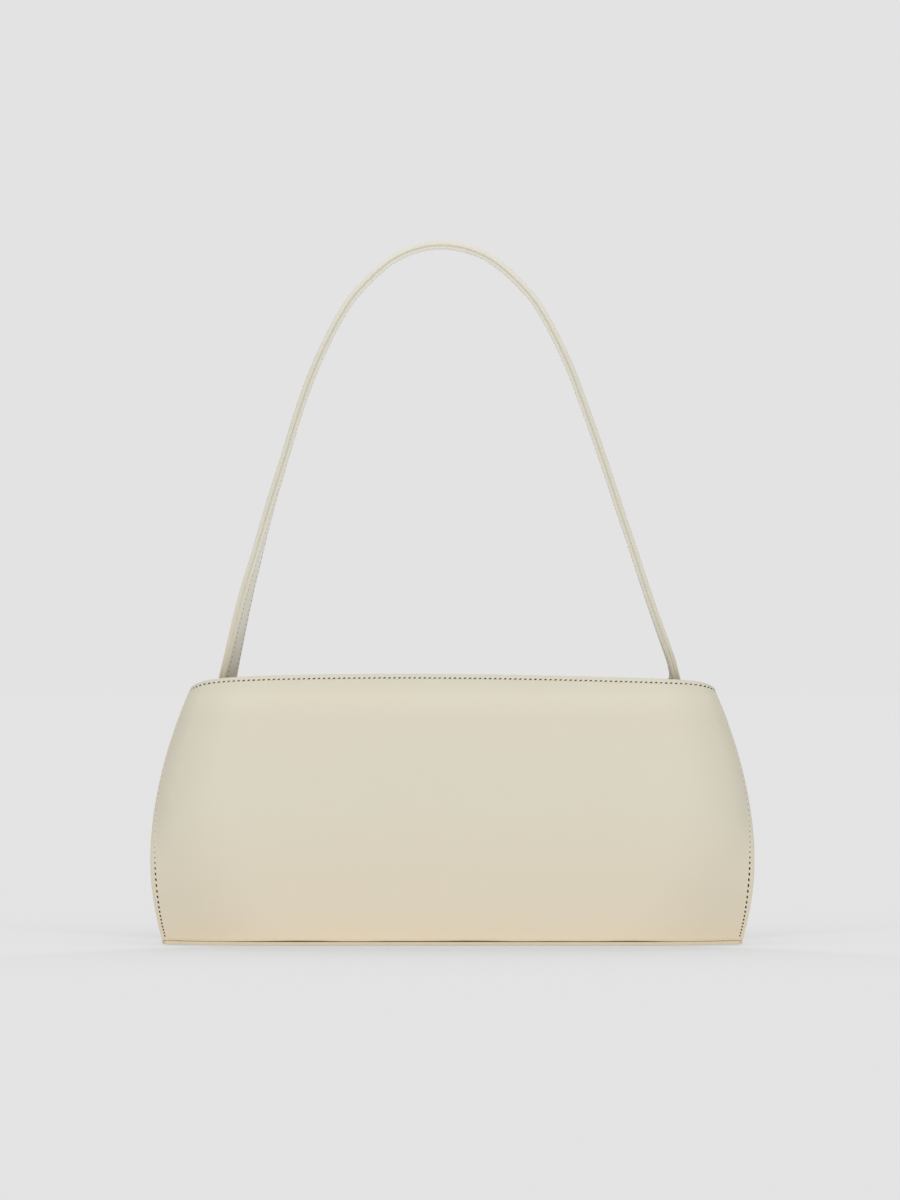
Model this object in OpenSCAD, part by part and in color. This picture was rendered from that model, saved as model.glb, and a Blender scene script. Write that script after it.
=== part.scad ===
/* [Bag] */
// Width of the base, corner to corner
base_width = 326; // [240:1:420]
// Greatest width of the body, seam edge to seam edge
widest_width = 340.6; // [250:0.2:440]
// Width of the mouth, corner to corner
mouth_width = 296; // [200:1:390]
// Height of the mouth's edge above the floor at the middle
bag_height = 152; // [110:1:220]
// Depth of the base, front to back
base_depth = 84; // [60:1:120]
// Depth of the open mouth at its middle, outside
mouth_depth = 40; // [38:1:56]

/* [Leather and lining] */
// Thickness of the front and back panels
panel_wall = 1.8; // [1.2:0.1:2.4]
// Thickness of the gussets
gusset_wall = 1.4; // [1:0.1:1.8]
// Thickness of the base leather
base_wall = 1.8; // [1.2:0.1:3]
// Thickness of the stiffener in the base
board_wall = 2; // [1:0.1:4]
// Thickness of the facing band inside the mouth
facing_wall = 1.2; // [0.8:0.1:1.6]
// Thickness of the lining
lining_wall = 0.8; // [0.5:0.1:1.2]
// Height of the facing band below the mouth's edge
facing_height = 34; // [28:1:45]

/* [Seams] */
// Width of the turned-out seam edge at the body's corners
seam_edge = 4.6; // [3.6:0.1:5.4]
// Distance of the side stitching from the seam's edge
side_stitch_inset = 3.4; // [2:0.1:3.6]
// Distance of the mouth's stitching from its edge
rim_stitch_inset = 2.4; // [1.6:0.1:4]
// Thickness of the sewing thread
thread = 0.7; // [0.4:0.05:1]

/* [Strap] */
// Width of the strap
strap_width = 13; // [10:0.5:14]
// Thickness of the strap's outer leather
strap_outer_wall = 1.7; // [1:0.1:2.2]
// Thickness of the strap's inner leather
strap_inner_wall = 1.7; // [1:0.1:2.2]
// Thickness of the tape between the two leathers
strap_core_wall = 1.2; // [0.6:0.1:1.6]
// Distance between the strap's two feet
strap_span = 253.5; // [200:0.5:262]
// Height of the strap's arch above its swing axis
strap_rise = 235.5; // [160:0.5:340]
// Height of the strap's swing axis above the middle of the mouth's edge
axis_lift = 8; // [6.5:0.5:14]
// Distance of the strap's swing axis behind the bag's middle plane
axis_back = 7; // [5:0.5:8]

/* [Closure and pocket] */
// Width of the closure tab
tab_width = 24; // [18:1:36]
// Thickness of the closure tab
tab_wall = 2.2; // [1.6:0.1:3]
// Diameter of the closure's magnets
magnet_diameter = 14; // [10:0.5:17]
// Thickness of each magnet
magnet_wall = 1.6; // [1:0.1:2]
// Width of the slip pocket
pocket_width = 150; // [80:1:190]
// Height of the slip pocket's foot above the lining of the base
pocket_foot = 22.6; // [14:0.1:50]
// Thickness of the slip pocket's leather
pocket_wall = 1; // [0.7:0.1:1.4]

/* [Hidden] */

// Colours
bone = [0.85, 0.82, 0.75];
bone_shade = [0.79, 0.76, 0.68];
lining_tan = [0.72, 0.66, 0.56];
board_grey = [0.55, 0.53, 0.5];
thread_cream = [0.9, 0.88, 0.82];
magnet_steel = [0.7, 0.69, 0.66];

// Clearances between pieces that lie against each other
seat = 0.1;
soft_gap = 0.3;

// The body's shape
arch_drop = 3;
corner_round_drop = 4;
mouth_bow = 3;
gusset_dip = 3;
roll_length = 13;
mouth_roll_angle = 68;
least_roll_angle = 1;
widest_share = 0.345;
upper_curve_share = 1.85;
depth_curve_share = 1.3;
roll_start_share = 0.18;
roll_end_share = 0.62;
corner_round_share = 24;

half_base = base_width / 2;
half_widest = widest_width / 2;
half_mouth = mouth_width / 2;
floor_gap = base_wall + soft_gap;

// Rows and columns of the body's sheets, as shares
row_shares = [0, 0.07, 0.16, 0.26, 0.36, 0.46, 0.56, 0.67, 0.78, 0.89, 1];
bow_shares = [0.18, 0.36, 0.54, 0.7, 0.85, 1];
roll_shares = [0.25, 0.5, 0.75, 1];
lining_row_shares = [0, 0.12, 0.26, 0.42, 0.58, 0.74, 0.88, 1];
facing_row_shares = [0, 0.3, 0.6, 0.85, 1];
lining_column_shares = [0, 0.22, 0.44, 0.64, 0.8, 0.9, 0.955, 0.985];
end_shares = [-1, -0.85, -0.6, -0.3, 0, 0.3, 0.6, 0.85, 1];
cross_shares = [-0.6, 0, 0.6];

function smooth(s) = let (c = min(max(s, 0), 1)) c * c * (3 - 2 * c);
function mix(a, b, s) = a + (b - a) * s;
function half_turn(list) = [for (i = [len(list) - 1:-1:0]) list[i]];
function mirrored_x(list) = [for (p = half_turn(list)) [-p[0], p[1], p[2]]];

// Height of the mouth's edge at a place along it, as a share of the half width
function rim(share) =
    bag_height - arch_drop * share * share - corner_round_drop * pow(abs(share), corner_round_share);
function height_at(column, t) = mix(floor_gap, rim(column), t);

// The body's half width and half depth at a share of its height
function half_width(t) =
    t < widest_share
    ? half_widest - (half_widest - half_base) * pow((widest_share - t) / widest_share, 2)
    : half_widest - (half_widest - half_mouth)
      * pow((t - widest_share) / (1 - widest_share), upper_curve_share);
function half_depth(t) = mix(base_depth, mouth_depth, pow(t, depth_curve_share)) / 2;
function roll_angle(t) = let (
    risen = (t - roll_start_share) / (roll_end_share - roll_start_share)
) mix(least_roll_angle, mouth_roll_angle, smooth(risen));
function bow_angle(t) = atan(2 * mouth_bow * t / half_width(t));

// A panel's half section at one height: a bowed front, a roll and a straight seam edge.
// Each point is its place across and in depth, then the angle that its face has turned.
function sinc(a) = sin(a) / (a * PI / 180);
function roll_point(from, bow, turn, share) = let (
    part = turn * share,
    run = roll_length * share * sinc(part / 2),
    way = bow + part / 2
) [from[0] + run * cos(way), from[1] + run * sin(way), bow + part];
function half_section(t) = let (
    bow = bow_angle(t),
    turn = roll_angle(t),
    wide = half_width(t),
    last = bow + turn,
    roll_start = wide - roll_length * sinc(turn / 2) * cos(bow + turn / 2) - seam_edge * cos(last),
    deep = -half_depth(t),
    flat = [for (s = bow_shares) let (x = roll_start * s)
        [x, deep + tan(bow) * x * s / 2, bow * s]],
    corner = flat[len(flat) - 1],
    rolled = [for (s = roll_shares) roll_point(corner, bow, turn, s)],
    seam = rolled[len(rolled) - 1]
) concat(flat, rolled, [[seam[0] + seam_edge * cos(last), seam[1] + seam_edge * sin(last), last]]);

// A half section pushed inwards by a depth, and the whole section from left to right
function pushed(p, inwards) = [p[0] - sin(p[2]) * inwards, p[1] + cos(p[2]) * inwards, p[2]];
function section_row(t, inwards) = let (
    half = [for (p = half_section(t)) pushed(p, inwards)]
) concat(mirrored_x(half), [[0, -half_depth(t) + inwards, 0]], half);
mouth_columns = [for (p = section_row(1, 0)) p[0] / half_mouth];
function panel_grid(inwards) = [for (t = row_shares) let (row = section_row(t, inwards))
    [for (i = [0:len(row) - 1]) [row[i][0], row[i][1], height_at(mouth_columns[i], t)]]];

// The wall's face towards the inside, at a place across and a height share
function inner_depth(x, t, inwards) = let (
    bow = bow_angle(t),
    turn = roll_angle(t),
    roll_start = half_width(t) - roll_length * sinc(turn / 2) * cos(bow + turn / 2)
        - seam_edge * cos(bow + turn)
) half_depth(t) - tan(bow) * x * x / (2 * roll_start) - inwards;

// A solid from an outer and an inner grid of points, rows going up. Its two halves are split into
// triangles the mirrored way, so that neighbours match at both ends.
module sheet_solid(outer, inner) {
    rows = len(outer) - 1;
    columns = len(outer[0]) - 1;
    shift = (rows + 1) * (columns + 1);
    function a(j, i) = j * (columns + 1) + i;
    function b(j, i) = shift + a(j, i);
    quads = concat(
        [for (j = [0:rows - 1], i = [0:columns - 1]) i < columns / 2
            ? [a(j, i + 1), a(j, i), a(j + 1, i), a(j + 1, i + 1)]
            : [a(j, i), a(j + 1, i), a(j + 1, i + 1), a(j, i + 1)]],
        [for (j = [0:rows - 1], i = [0:columns - 1]) i < columns / 2
            ? [b(j + 1, i), b(j, i), b(j, i + 1), b(j + 1, i + 1)]
            : [b(j, i), b(j, i + 1), b(j + 1, i + 1), b(j + 1, i)]],
        [for (i = [0:columns - 1]) [a(0, i), a(0, i + 1), b(0, i + 1), b(0, i)]],
        [for (i = [0:columns - 1]) [a(rows, i + 1), a(rows, i), b(rows, i), b(rows, i + 1)]],
        [for (j = [0:rows - 1]) [a(j + 1, 0), a(j, 0), b(j, 0), b(j + 1, 0)]],
        [for (j = [0:rows - 1]) [a(j, columns), a(j + 1, columns), b(j + 1, columns), b(j, columns)]]
    );
    polyhedron(
        points = concat([for (row = outer) each row], [for (row = inner) each row]),
        faces = [for (q = quads) each [[q[0], q[1], q[2]], [q[0], q[2], q[3]]]],
        convexity = 10
    );
}

// A solid swept through closed rings of points, each ring seen clockwise along the way
module swept_solid(rings) {
    sides = len(rings[0]);
    last = (len(rings) - 1) * sides;
    quads = [for (j = [0:len(rings) - 2], i = [0:sides - 1]) let (k = (i + 1) % sides)
        [j * sides + i, j * sides + k, (j + 1) * sides + k, (j + 1) * sides + i]];
    polyhedron(
        points = [for (ring = rings) each ring],
        faces = concat(
            [for (q = quads) each [[q[0], q[1], q[2]], [q[0], q[2], q[3]]]],
            [for (i = [1:sides - 2]) [0, i + 1, i]],
            [for (i = [1:sides - 2]) [last, last + i, last + i + 1]]
        ),
        convexity = 10
    );
}

module front_panel() {
    color(bone) sheet_solid(panel_grid(0), panel_grid(panel_wall));
}

module back_panel() {
    color(bone) mirror([0, 1, 0]) sheet_solid(panel_grid(0), panel_grid(panel_wall));
}

// The right gusset's corner at the front seam: its turned edge lies against the panel's inner
// face, and from the fold the gusset crosses to the back
function seam_end(t) = let (half = half_section(t)) half[len(half) - 1];
function along(p, back, inwards) = [
    p[0] - back * cos(p[2]) - inwards * sin(p[2]),
    p[1] - back * sin(p[2]) + inwards * cos(p[2])
];
function fold_point(t) =
    along(seam_end(t), seam_edge - gusset_wall, panel_wall + seat + gusset_wall);
function mirrored_y(list) = [for (p = half_turn(list)) [p[0], -p[1]]];
function dip_at(t, share) = gusset_dip * t * (1 - share * share);
function gusset_outside(t) = let (
    tip = along(seam_end(t), 0, panel_wall + seat + gusset_wall),
    fold = fold_point(t),
    edge = [tip, mix(tip, fold, 0.5), fold],
    cross = [for (s = cross_shares) [fold[0] - dip_at(t, s), -fold[1] * s]]
) concat(edge, cross, mirrored_y(edge));
function gusset_inside(t) = let (
    fold = fold_point(t),
    back = [fold[0] - gusset_wall, fold[1] - gusset_wall],
    edge = [
        along(seam_end(t), 0, panel_wall + seat),
        along(seam_end(t), seam_edge - gusset_wall, panel_wall + seat),
        back
    ],
    cross = [for (s = cross_shares) [back[0] - dip_at(t, s), -back[1] * s]]
) concat(edge, cross, mirrored_y(edge));
function raised(row, z) = [for (p = row) [p[0], p[1], z]];

module right_gusset() {
    color(bone_shade) sheet_solid(
        [for (t = row_shares) raised(gusset_outside(t), height_at(1, t))],
        [for (t = row_shares) raised(gusset_inside(t), height_at(1, t))]
    );
}

module left_gusset() {
    mirror([1, 0, 0]) right_gusset();
}

// The base: its leather reaches out to the panels' faces, and the stiffener lies inside the seams
base_corner = 1.5;
lining_corner = 18;
board_inset = seam_edge + gusset_wall + soft_gap;
board_half_width = half_base - board_inset;
board_half_depth = base_depth / 2 - panel_wall - gusset_wall - soft_gap;
board_floor = base_wall + soft_gap;
lining_floor = board_floor + board_wall + soft_gap;

module rounded_plate(half_x, half_y, corner, wall) {
    linear_extrude(height = wall)
        hull()
            for (sx = [-1, 1], sy = [-1, 1])
                translate([sx * (half_x - corner), sy * (half_y - corner)])
                    circle(r = corner, $fn = 24);
}

module base_panel() {
    color(bone_shade) rounded_plate(half_base, base_depth / 2, base_corner, base_wall);
}

module base_board() {
    color(board_grey)
        translate([0, 0, board_floor])
            rounded_plate(board_half_width, board_half_depth, base_corner, board_wall);
}

// The lining's section is a rounded box inside the leather
lining_slack = 0.4;
lining_nose_share = 40;
lining_side_base_share = 9;
lining_side_mouth_share = 2.2;
lining_side_rate_share = 1.6;
function lining_half_width(t, inwards) =
    fold_point(t)[0] - gusset_wall - gusset_dip * t - lining_slack - inwards;
function side_power(t) =
    mix(lining_side_base_share, lining_side_mouth_share, smooth(lining_side_rate_share * t));
function lining_depth(t, share, inwards) = let (x = lining_half_width(t, inwards) * share)
    inner_depth(x, t, panel_wall + soft_gap + inwards)
    * pow(1 - pow(abs(share), lining_nose_share), 1 / side_power(t));
end_share = lining_column_shares[len(lining_column_shares) - 1];
lining_columns = concat(
    [for (s = half_turn(lining_column_shares)) -s],
    [for (i = [1:len(lining_column_shares) - 1]) lining_column_shares[i]]
);
function lining_row(t, inwards) = [for (s = lining_columns)
    [lining_half_width(t, inwards) * s, -lining_depth(t, s, inwards)]];
function lining_end(t, inwards) = let (
    reach = lining_depth(t, end_share, inwards),
    deep = inner_depth(lining_half_width(t, inwards), t, panel_wall + soft_gap + inwards),
    wide = lining_half_width(t, inwards)
) [for (s = end_shares) [
    wide * pow(1 - pow(abs(s) * reach / deep, side_power(t)), 1 / lining_nose_share),
    s * reach
]];

// Heights of the lining and the facing, which meets the lining's upper edge
lining_rim_drop = facing_height + soft_gap;
function body_share(z, column) = (z - floor_gap) / (rim(column) - floor_gap);
function lining_height(column, v) = mix(lining_floor, rim(column) - lining_rim_drop, v);
function facing_height_at(column, v) = mix(rim(column) - facing_height, rim(column), v);

// Two sheets of the lining start a seam's gap apart
seam_gap = 0.25;

function wall_grid(shares, inwards, facing) = [for (v = shares) let (
    level = facing ? facing_height_at(0, v) : lining_height(0, v),
    row = lining_row(body_share(level, 0), inwards)
) [for (i = [0:len(row) - 1]) let (s = lining_columns[i])
    [row[i][0], row[i][1], facing ? facing_height_at(s, v) : lining_height(s, v)]]];

module front_lining() {
    color(lining_tan) sheet_solid(
        wall_grid(lining_row_shares, 0, false),
        wall_grid(lining_row_shares, lining_wall, false)
    );
}

module back_lining() {
    mirror([0, 1, 0]) front_lining();
}

function end_grid(inwards) = [for (v = lining_row_shares) let (
    row = lining_end(body_share(lining_height(0, v), 0), inwards)
) [for (p = row) [p[0], p[1] * (1 - seam_gap / abs(row[0][1])), lining_height(1, v)]]];

module right_gusset_lining() {
    color(lining_tan) sheet_solid(end_grid(0), end_grid(lining_wall));
}

module left_gusset_lining() {
    mirror([1, 0, 0]) right_gusset_lining();
}

base_lining_inset = lining_wall + soft_gap;
module base_lining() {
    base_share = body_share(lining_floor, 0);
    color(lining_tan)
        translate([0, 0, lining_floor])
            rounded_plate(
                lining_half_width(base_share, 0) - base_lining_inset - lining_slack,
                lining_depth(base_share, 0, 0) - base_lining_inset - lining_slack,
                lining_corner,
                lining_wall
            );
}

// The facing lines the mouth: each half runs round its end to the middle of the gusset
facing_end_shares = [0.985, 0.994, 0.9985];
facing_columns = concat(
    [for (s = half_turn(facing_end_shares)) -s],
    [for (i = [1:len(lining_columns) - 2]) lining_columns[i]],
    facing_end_shares
);
function facing_grid(inwards) = [for (v = facing_row_shares) let (
    t = body_share(facing_height_at(0, v), 0)
) [for (s = facing_columns) [
    lining_half_width(t, inwards) * s,
    -lining_depth(t, s, inwards),
    facing_height_at(s, v)
]]];

module front_facing() {
    color(bone_shade) sheet_solid(facing_grid(0), facing_grid(facing_wall));
}

module back_facing() {
    mirror([0, 1, 0]) front_facing();
}

// The slip pocket lies flat on the back lining, open at its top
pocket_drop = 9;
pocket_top = bag_height - facing_height - pocket_drop;
pocket_floor = lining_floor + pocket_foot;
pocket_shares = [-1, -0.66, -0.33, 0, 0.33, 0.66, 1];
pocket_row_shares = [0, 0.25, 0.5, 0.75, 1];
pocket_seat = panel_wall + soft_gap + lining_wall + soft_gap;
function back_point(x, z, inwards) = [x, inner_depth(x, body_share(z, x / half_mouth), inwards), z];
function pocket_grid(inwards) = [for (v = pocket_row_shares)
    [for (s = pocket_shares)
        back_point(-s * pocket_width / 2, mix(pocket_floor, pocket_top, v), pocket_seat + inwards)]];

module slip_pocket() {
    color(bone) sheet_solid(pocket_grid(0), pocket_grid(pocket_wall));
}

// The closure: a tab that is sewn to the back facing, crosses the mouth and meets a magnet
// on the front facing. Its places are in depth and height at the bag's middle plane.
facing_seat = panel_wall + soft_gap + facing_wall;
tab_axis_rise = 6;
magnet_rise = 4.5;
tab_axis_height = bag_height - facing_height + tab_axis_rise;
magnet_height = tab_axis_height + magnet_diameter / 2 + magnet_rise;
anchor_length = 12;
anchor_gap = 0.2;
wall_slope = atan((inner_depth(0, body_share(tab_axis_height, 0), 0)
    - inner_depth(0, body_share(bag_height, 0), 0)) / (bag_height - tab_axis_height));
function facing_face(z) = inner_depth(0, body_share(z, 0), facing_seat);
tab_axis_depth = facing_face(tab_axis_height) - seat - tab_wall / 2;
front_magnet_face = facing_face(magnet_height) - seat - magnet_wall;
tab_magnet_face = front_magnet_face - soft_gap;
tab_back_face = tab_magnet_face - magnet_wall - seat;
tab_end_margin = 2;
tab_end_drop = magnet_diameter / 2 + tab_end_margin;
tab_knuckle = tab_wall / 2;
tab_tilt = wall_slope;

// The tab's middle line from its axis across the mouth and down behind its magnet. The shares
// are of the way and of the rise from the axis to the magnet's upper edge.
function tab_front(along_up) = [
    along_up * sin(tab_tilt) - tab_back_face + tab_wall / 2,
    magnet_height + along_up * cos(tab_tilt)
];
tab_way_shares = [[0, 0], [0.12, 0.1], [0.35, 0.33], [0.6, 0.62], [0.82, 0.9], [0.95, 1.03]];
tab_top = tab_front(magnet_diameter / 2);
tab_line = concat(
    [for (s = tab_way_shares) [
        mix(tab_axis_depth, tab_top[0], s[0]),
        mix(tab_axis_height, tab_top[1], s[1])
    ]],
    [tab_top, tab_front(0), tab_front(-tab_end_drop)]
);
function unit(v) = v / norm(v);
function way_at(line, i) = unit(line[min(i + 1, len(line) - 1)] - line[max(i - 1, 0)]);

module tab_anchor() {
    low = tab_axis_height - anchor_gap - anchor_length;
    top = tab_axis_height - tab_knuckle - anchor_gap;
    function face(z, out) = facing_face(z) - seat - out;
    color(bone) sheet_solid(
        [for (z = [low, top]) [for (s = [1, -1]) [s * tab_width / 2, face(z, 0), z]]],
        [for (z = [low, top]) [for (s = [1, -1]) [s * tab_width / 2, face(z, tab_wall), z]]]
    );
}

module closure_tab() {
    rings = [for (i = [0:len(tab_line) - 1]) let (
        way = way_at(tab_line, i),
        side = [-way[1], way[0]] * tab_wall / 2,
        p = tab_line[i]
    ) [
        [-tab_width / 2, p[0] - side[0], p[1] - side[1]],
        [tab_width / 2, p[0] - side[0], p[1] - side[1]],
        [tab_width / 2, p[0] + side[0], p[1] + side[1]],
        [-tab_width / 2, p[0] + side[0], p[1] + side[1]]
    ]];
    color(bone) swept_solid(rings);
}

module magnet_disc(face_depth) {
    translate([0, -face_depth, magnet_height])
        rotate([90 - tab_tilt, 0, 0])
            cylinder(d = magnet_diameter, h = magnet_wall, center = true, $fn = 48);
}

module tab_magnet() {
    color(magnet_steel) magnet_disc(tab_magnet_face - magnet_wall / 2);
}

module facing_magnet() {
    color(magnet_steel) magnet_disc(front_magnet_face + magnet_wall / 2);
}

// The strap's arch: its middle line goes from the left foot over the top to the right foot,
// as shares of half its span and of its rise
arch_shares = [
    [-0.989, 0], [-0.930, 0.145], [-0.872, 0.261], [-0.814, 0.376], [-0.749, 0.491],
    [-0.683, 0.607], [-0.602, 0.722], [-0.492, 0.838], [-0.400, 0.903], [-0.280, 0.961],
    [-0.167, 0.990], [-0.050, 1], [0.070, 0.990], [0.186, 0.961], [0.309, 0.903],
    [0.402, 0.838], [0.512, 0.722], [0.594, 0.607], [0.670, 0.491], [0.741, 0.376],
    [0.813, 0.261], [0.883, 0.145], [0.979, 0]
];
ring_shares = [0, 0.5];
axis_height = bag_height + axis_lift;
strap_wall = strap_outer_wall + strap_core_wall + strap_inner_wall;
arch_points = [for (s = arch_shares) [s[0] * strap_span / 2, axis_height + s[1] * strap_rise]];

// A smooth curve through points, with half a chord across each as its direction
function curve_way(p, i) = (p[min(i + 1, len(p) - 1)] - p[max(i - 1, 0)]) / 2;
function curve_point(p, i, s) = let (q = p[i], r = p[i + 1], u = curve_way(p, i), v = curve_way(p, i + 1))
    q * (2 * s * s * s - 3 * s * s + 1) + u * (s * s * s - 2 * s * s + s)
    + r * (3 * s * s - 2 * s * s * s) + v * (s * s * s - s * s);
arch_line = concat(
    [for (i = [0:len(arch_points) - 2], s = ring_shares) curve_point(arch_points, i, s)],
    [arch_points[len(arch_points) - 1]]
);

// Each foot of the arch ends in a half round about the swing axis
foot_shares = [0.5, 0.85, 0.98];
function foot_ring(line, i, share, sign) = let (way = way_at(line, i)) [
    line[i] - way * sign * strap_width / 2 * share,
    way,
    strap_width / 2 * sqrt(1 - share * share)
];
arch_rings = concat(
    [for (s = half_turn(foot_shares)) foot_ring(arch_line, 0, s, 1)],
    [for (i = [0:len(arch_line) - 1]) [arch_line[i], way_at(arch_line, i), strap_width / 2]],
    [for (s = foot_shares) foot_ring(arch_line, len(arch_line) - 1, s, -1)]
);
function layer_ring(ring, low, high, narrowed) = let (
    out = [-ring[1][1], ring[1][0]],
    p = ring[0] + out * low,
    q = ring[0] + out * high,
    w = ring[2] - narrowed
) [
    [q[0], axis_back - w, q[1]],
    [q[0], axis_back + w, q[1]],
    [p[0], axis_back + w, p[1]],
    [p[0], axis_back - w, p[1]]
];
module strap_layer(low, high, narrowed) {
    swept_solid([for (ring = arch_rings) layer_ring(ring, low, high, min(narrowed, ring[2] / 2))]);
}

layer_gap = 0.05;
core_narrowed = 1.2;
module strap_outer() {
    color(bone) strap_layer(strap_core_wall / 2 + layer_gap, strap_core_wall / 2 + strap_outer_wall, 0);
}

module strap_core() {
    color(board_grey) strap_layer(-strap_core_wall / 2, strap_core_wall / 2, core_narrowed);
}

module strap_inner() {
    color(bone) strap_layer(-strap_core_wall / 2 - strap_inner_wall, -strap_core_wall / 2 - layer_gap, 0);
}

// Stitching along the strap, near both edges of its outer and inner faces
strap_stitch_inset = 2.2;
function thread_ring(centre, across, up) = [
    centre + across * thread / 2, centre + up * thread / 2,
    centre - across * thread / 2, centre - up * thread / 2
];
module strap_stitch_row(side, outside) {
    reach = outside > 0
        ? strap_core_wall / 2 + strap_outer_wall
        : -strap_core_wall / 2 - strap_inner_wall;
    first = len(foot_shares);
    swept_solid([for (i = [first:len(arch_rings) - 1 - first]) let (
        ring = arch_rings[i],
        out = [-ring[1][1], ring[1][0]],
        p = ring[0] + out * (reach + outside * (thread / 2 + seat)),
        centre = [p[0], axis_back + side * (strap_width / 2 - strap_stitch_inset), p[1]]
    ) thread_ring(centre, [0, -1, 0], [out[0], 0, out[1]])]);
}
module strap_stitching() {
    color(thread_cream)
        for (side = [-1, 1], outside = [-1, 1])
            strap_stitch_row(side, outside);
}

// Each strap end twists from the arch's direction until it lies flat on the back facing
end_top = axis_height - strap_width / 2 - soft_gap;
sewn_drop = 17;
facing_margin = 2;
end_flat = bag_height - sewn_drop;
end_low = bag_height - facing_height + facing_margin;
end_step_shares = [0, 0.15, 0.3, 0.45, 0.6, 0.8, 1];
strap_lean = 0.08;
sewn_gap = 0.55;
function end_x(foot, z) = foot - sign(foot) * (z - axis_height) * strap_lean;
function end_wall(foot, z) = let (
    x = abs(end_x(foot, z)) + strap_width / 2,
    t = body_share(z, x / half_mouth)
) lining_depth(t, x / lining_half_width(t, facing_wall), facing_wall) - sewn_gap;
function end_depth(foot, z) = end_wall(foot, z) - strap_wall / 2;
function twisted_depth(foot, z, share, angle) = min(
    mix(axis_back, end_depth(foot, end_flat), smooth(share)),
    end_wall(foot, z) - strap_width / 2 * cos(angle) - strap_wall / 2 * sin(angle)
);
function end_ring(centre, angle) = let (
    w = [sin(angle), cos(angle), 0] * strap_width / 2,
    d = [cos(angle), -sin(angle), 0] * strap_wall / 2
) [centre + w - d, centre - w - d, centre - w + d, centre + w + d];
module strap_end(foot) {
    twist = [for (s = end_step_shares) let (z = mix(end_top, end_flat, s), angle = 90 * smooth(s))
        end_ring([end_x(foot, z), twisted_depth(foot, z, s, angle), z], angle)];
    sewn = [for (s = [0.5, 1]) let (z = mix(end_flat, end_low, s))
        end_ring([end_x(foot, z), end_depth(foot, z), z], 90)];
    color(bone) swept_solid(concat(twist, sewn));
}
left_foot = arch_points[0][0];
right_foot = arch_points[len(arch_points) - 1][0];
module left_strap_end() {
    strap_end(left_foot);
}
module right_strap_end() {
    strap_end(right_foot);
}

// A box of stitches on the inner face of each sewn strap end
box_inset = 2.4;
function sewn_depth(foot, z) = let (
    middle = (end_low + end_flat) / 2,
    end = z > middle ? end_flat : end_low
) mix(end_depth(foot, middle), end_depth(foot, end), (z - middle) / (end - middle));
module strap_end_box(foot) {
    for (z = [end_low + box_inset, end_flat - box_inset]) {
        y = sewn_depth(foot, z) - strap_wall / 2 - seat - thread / 2;
        translate([end_x(foot, z), y, z])
            cube([strap_width - 2 * box_inset, thread, thread], center = true);
    }
}
module strap_end_stitching() {
    color(thread_cream) strap_end_box(left_foot);
    color(thread_cream) strap_end_box(right_foot);
}

// Stitching along the mouth's edge and down the side seams lies on the leather's face
rim_row_start = 0.6;
module half_rim_stitch_row() {
    first = (len(mouth_columns) + 1) / 2;
    level = body_share(rim(0) - rim_stitch_inset, 0);
    start = [rim_row_start, -half_depth(level) - thread / 2 - soft_gap, rim(0) - rim_stitch_inset];
    swept_solid(concat(
        [thread_ring(start, [0, -1, 0], [0, 0, 1])],
        [for (i = [first:len(mouth_columns) - 1]) let (
            column = mouth_columns[i],
            z = rim(column) - rim_stitch_inset,
            p = pushed(section_row(body_share(z, column), 0)[i], -thread / 2 - soft_gap)
        ) thread_ring([p[0], p[1], z], [sin(p[2]), -cos(p[2]), 0], [0, 0, 1])]
    ));
}
module rim_stitch_row() {
    half_rim_stitch_row();
    mirror([1, 0, 0]) half_rim_stitch_row();
}
module front_rim_stitching() {
    color(thread_cream) rim_stitch_row();
}
module back_rim_stitching() {
    color(thread_cream) mirror([0, 1, 0]) rim_stitch_row();
}

side_stitch_shares = [0.015, 0.07, 0.16, 0.26, 0.36, 0.46, 0.56, 0.67, 0.78, 0.89, 0.975];
module side_stitch_row() {
    swept_solid([for (t = side_stitch_shares) let (
        seam = seam_end(t),
        p = along(seam, side_stitch_inset, -thread / 2 - soft_gap)
    ) thread_ring(
        [p[0], p[1], height_at(1, t)],
        [sin(seam[2]), -cos(seam[2]), 0],
        [-cos(seam[2]), -sin(seam[2]), 0]
    )]);
}
module right_seam_stitching() {
    color(thread_cream) side_stitch_row();
    color(thread_cream) mirror([0, 1, 0]) side_stitch_row();
}
module left_seam_stitching() {
    mirror([1, 0, 0]) right_seam_stitching();
}

// Stitching across the pocket's lower edge and up its sides
pocket_stitch_inset = 2;
module pocket_stitching() {
    inwards = pocket_seat + pocket_wall + seat + thread / 2;
    reach = pocket_width / 2 - pocket_stitch_inset;
    low = pocket_floor + pocket_stitch_inset;
    side_rows = [for (v = pocket_row_shares) mix(low + thread, pocket_top - pocket_stitch_inset, v)];
    color(thread_cream) {
        swept_solid([for (s = pocket_shares)
            thread_ring(back_point(s * reach, low, inwards), [0, -1, 0], [0, 0, 1])]);
        for (side = [-1, 1])
            swept_solid([for (z = side_rows)
                thread_ring(back_point(side * reach, z, inwards), [-1, 0, 0], [0, 1, 0])]);
    }
}

front_panel();
back_panel();
left_gusset();
right_gusset();
base_panel();
base_board();
front_lining();
back_lining();
left_gusset_lining();
right_gusset_lining();
base_lining();
front_facing();
back_facing();
slip_pocket();
tab_anchor();
closure_tab();
tab_magnet();
facing_magnet();
strap_outer();
strap_core();
strap_inner();
left_strap_end();
right_strap_end();
front_rim_stitching();
back_rim_stitching();
left_seam_stitching();
right_seam_stitching();
strap_stitching();
strap_end_stitching();
pocket_stitching();
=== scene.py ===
"""Shoulder bag of smooth bone leather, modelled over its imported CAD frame."""
from math import atan, atan2, copysign, cos, hypot, pi, radians, sin, sqrt, tan

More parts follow.
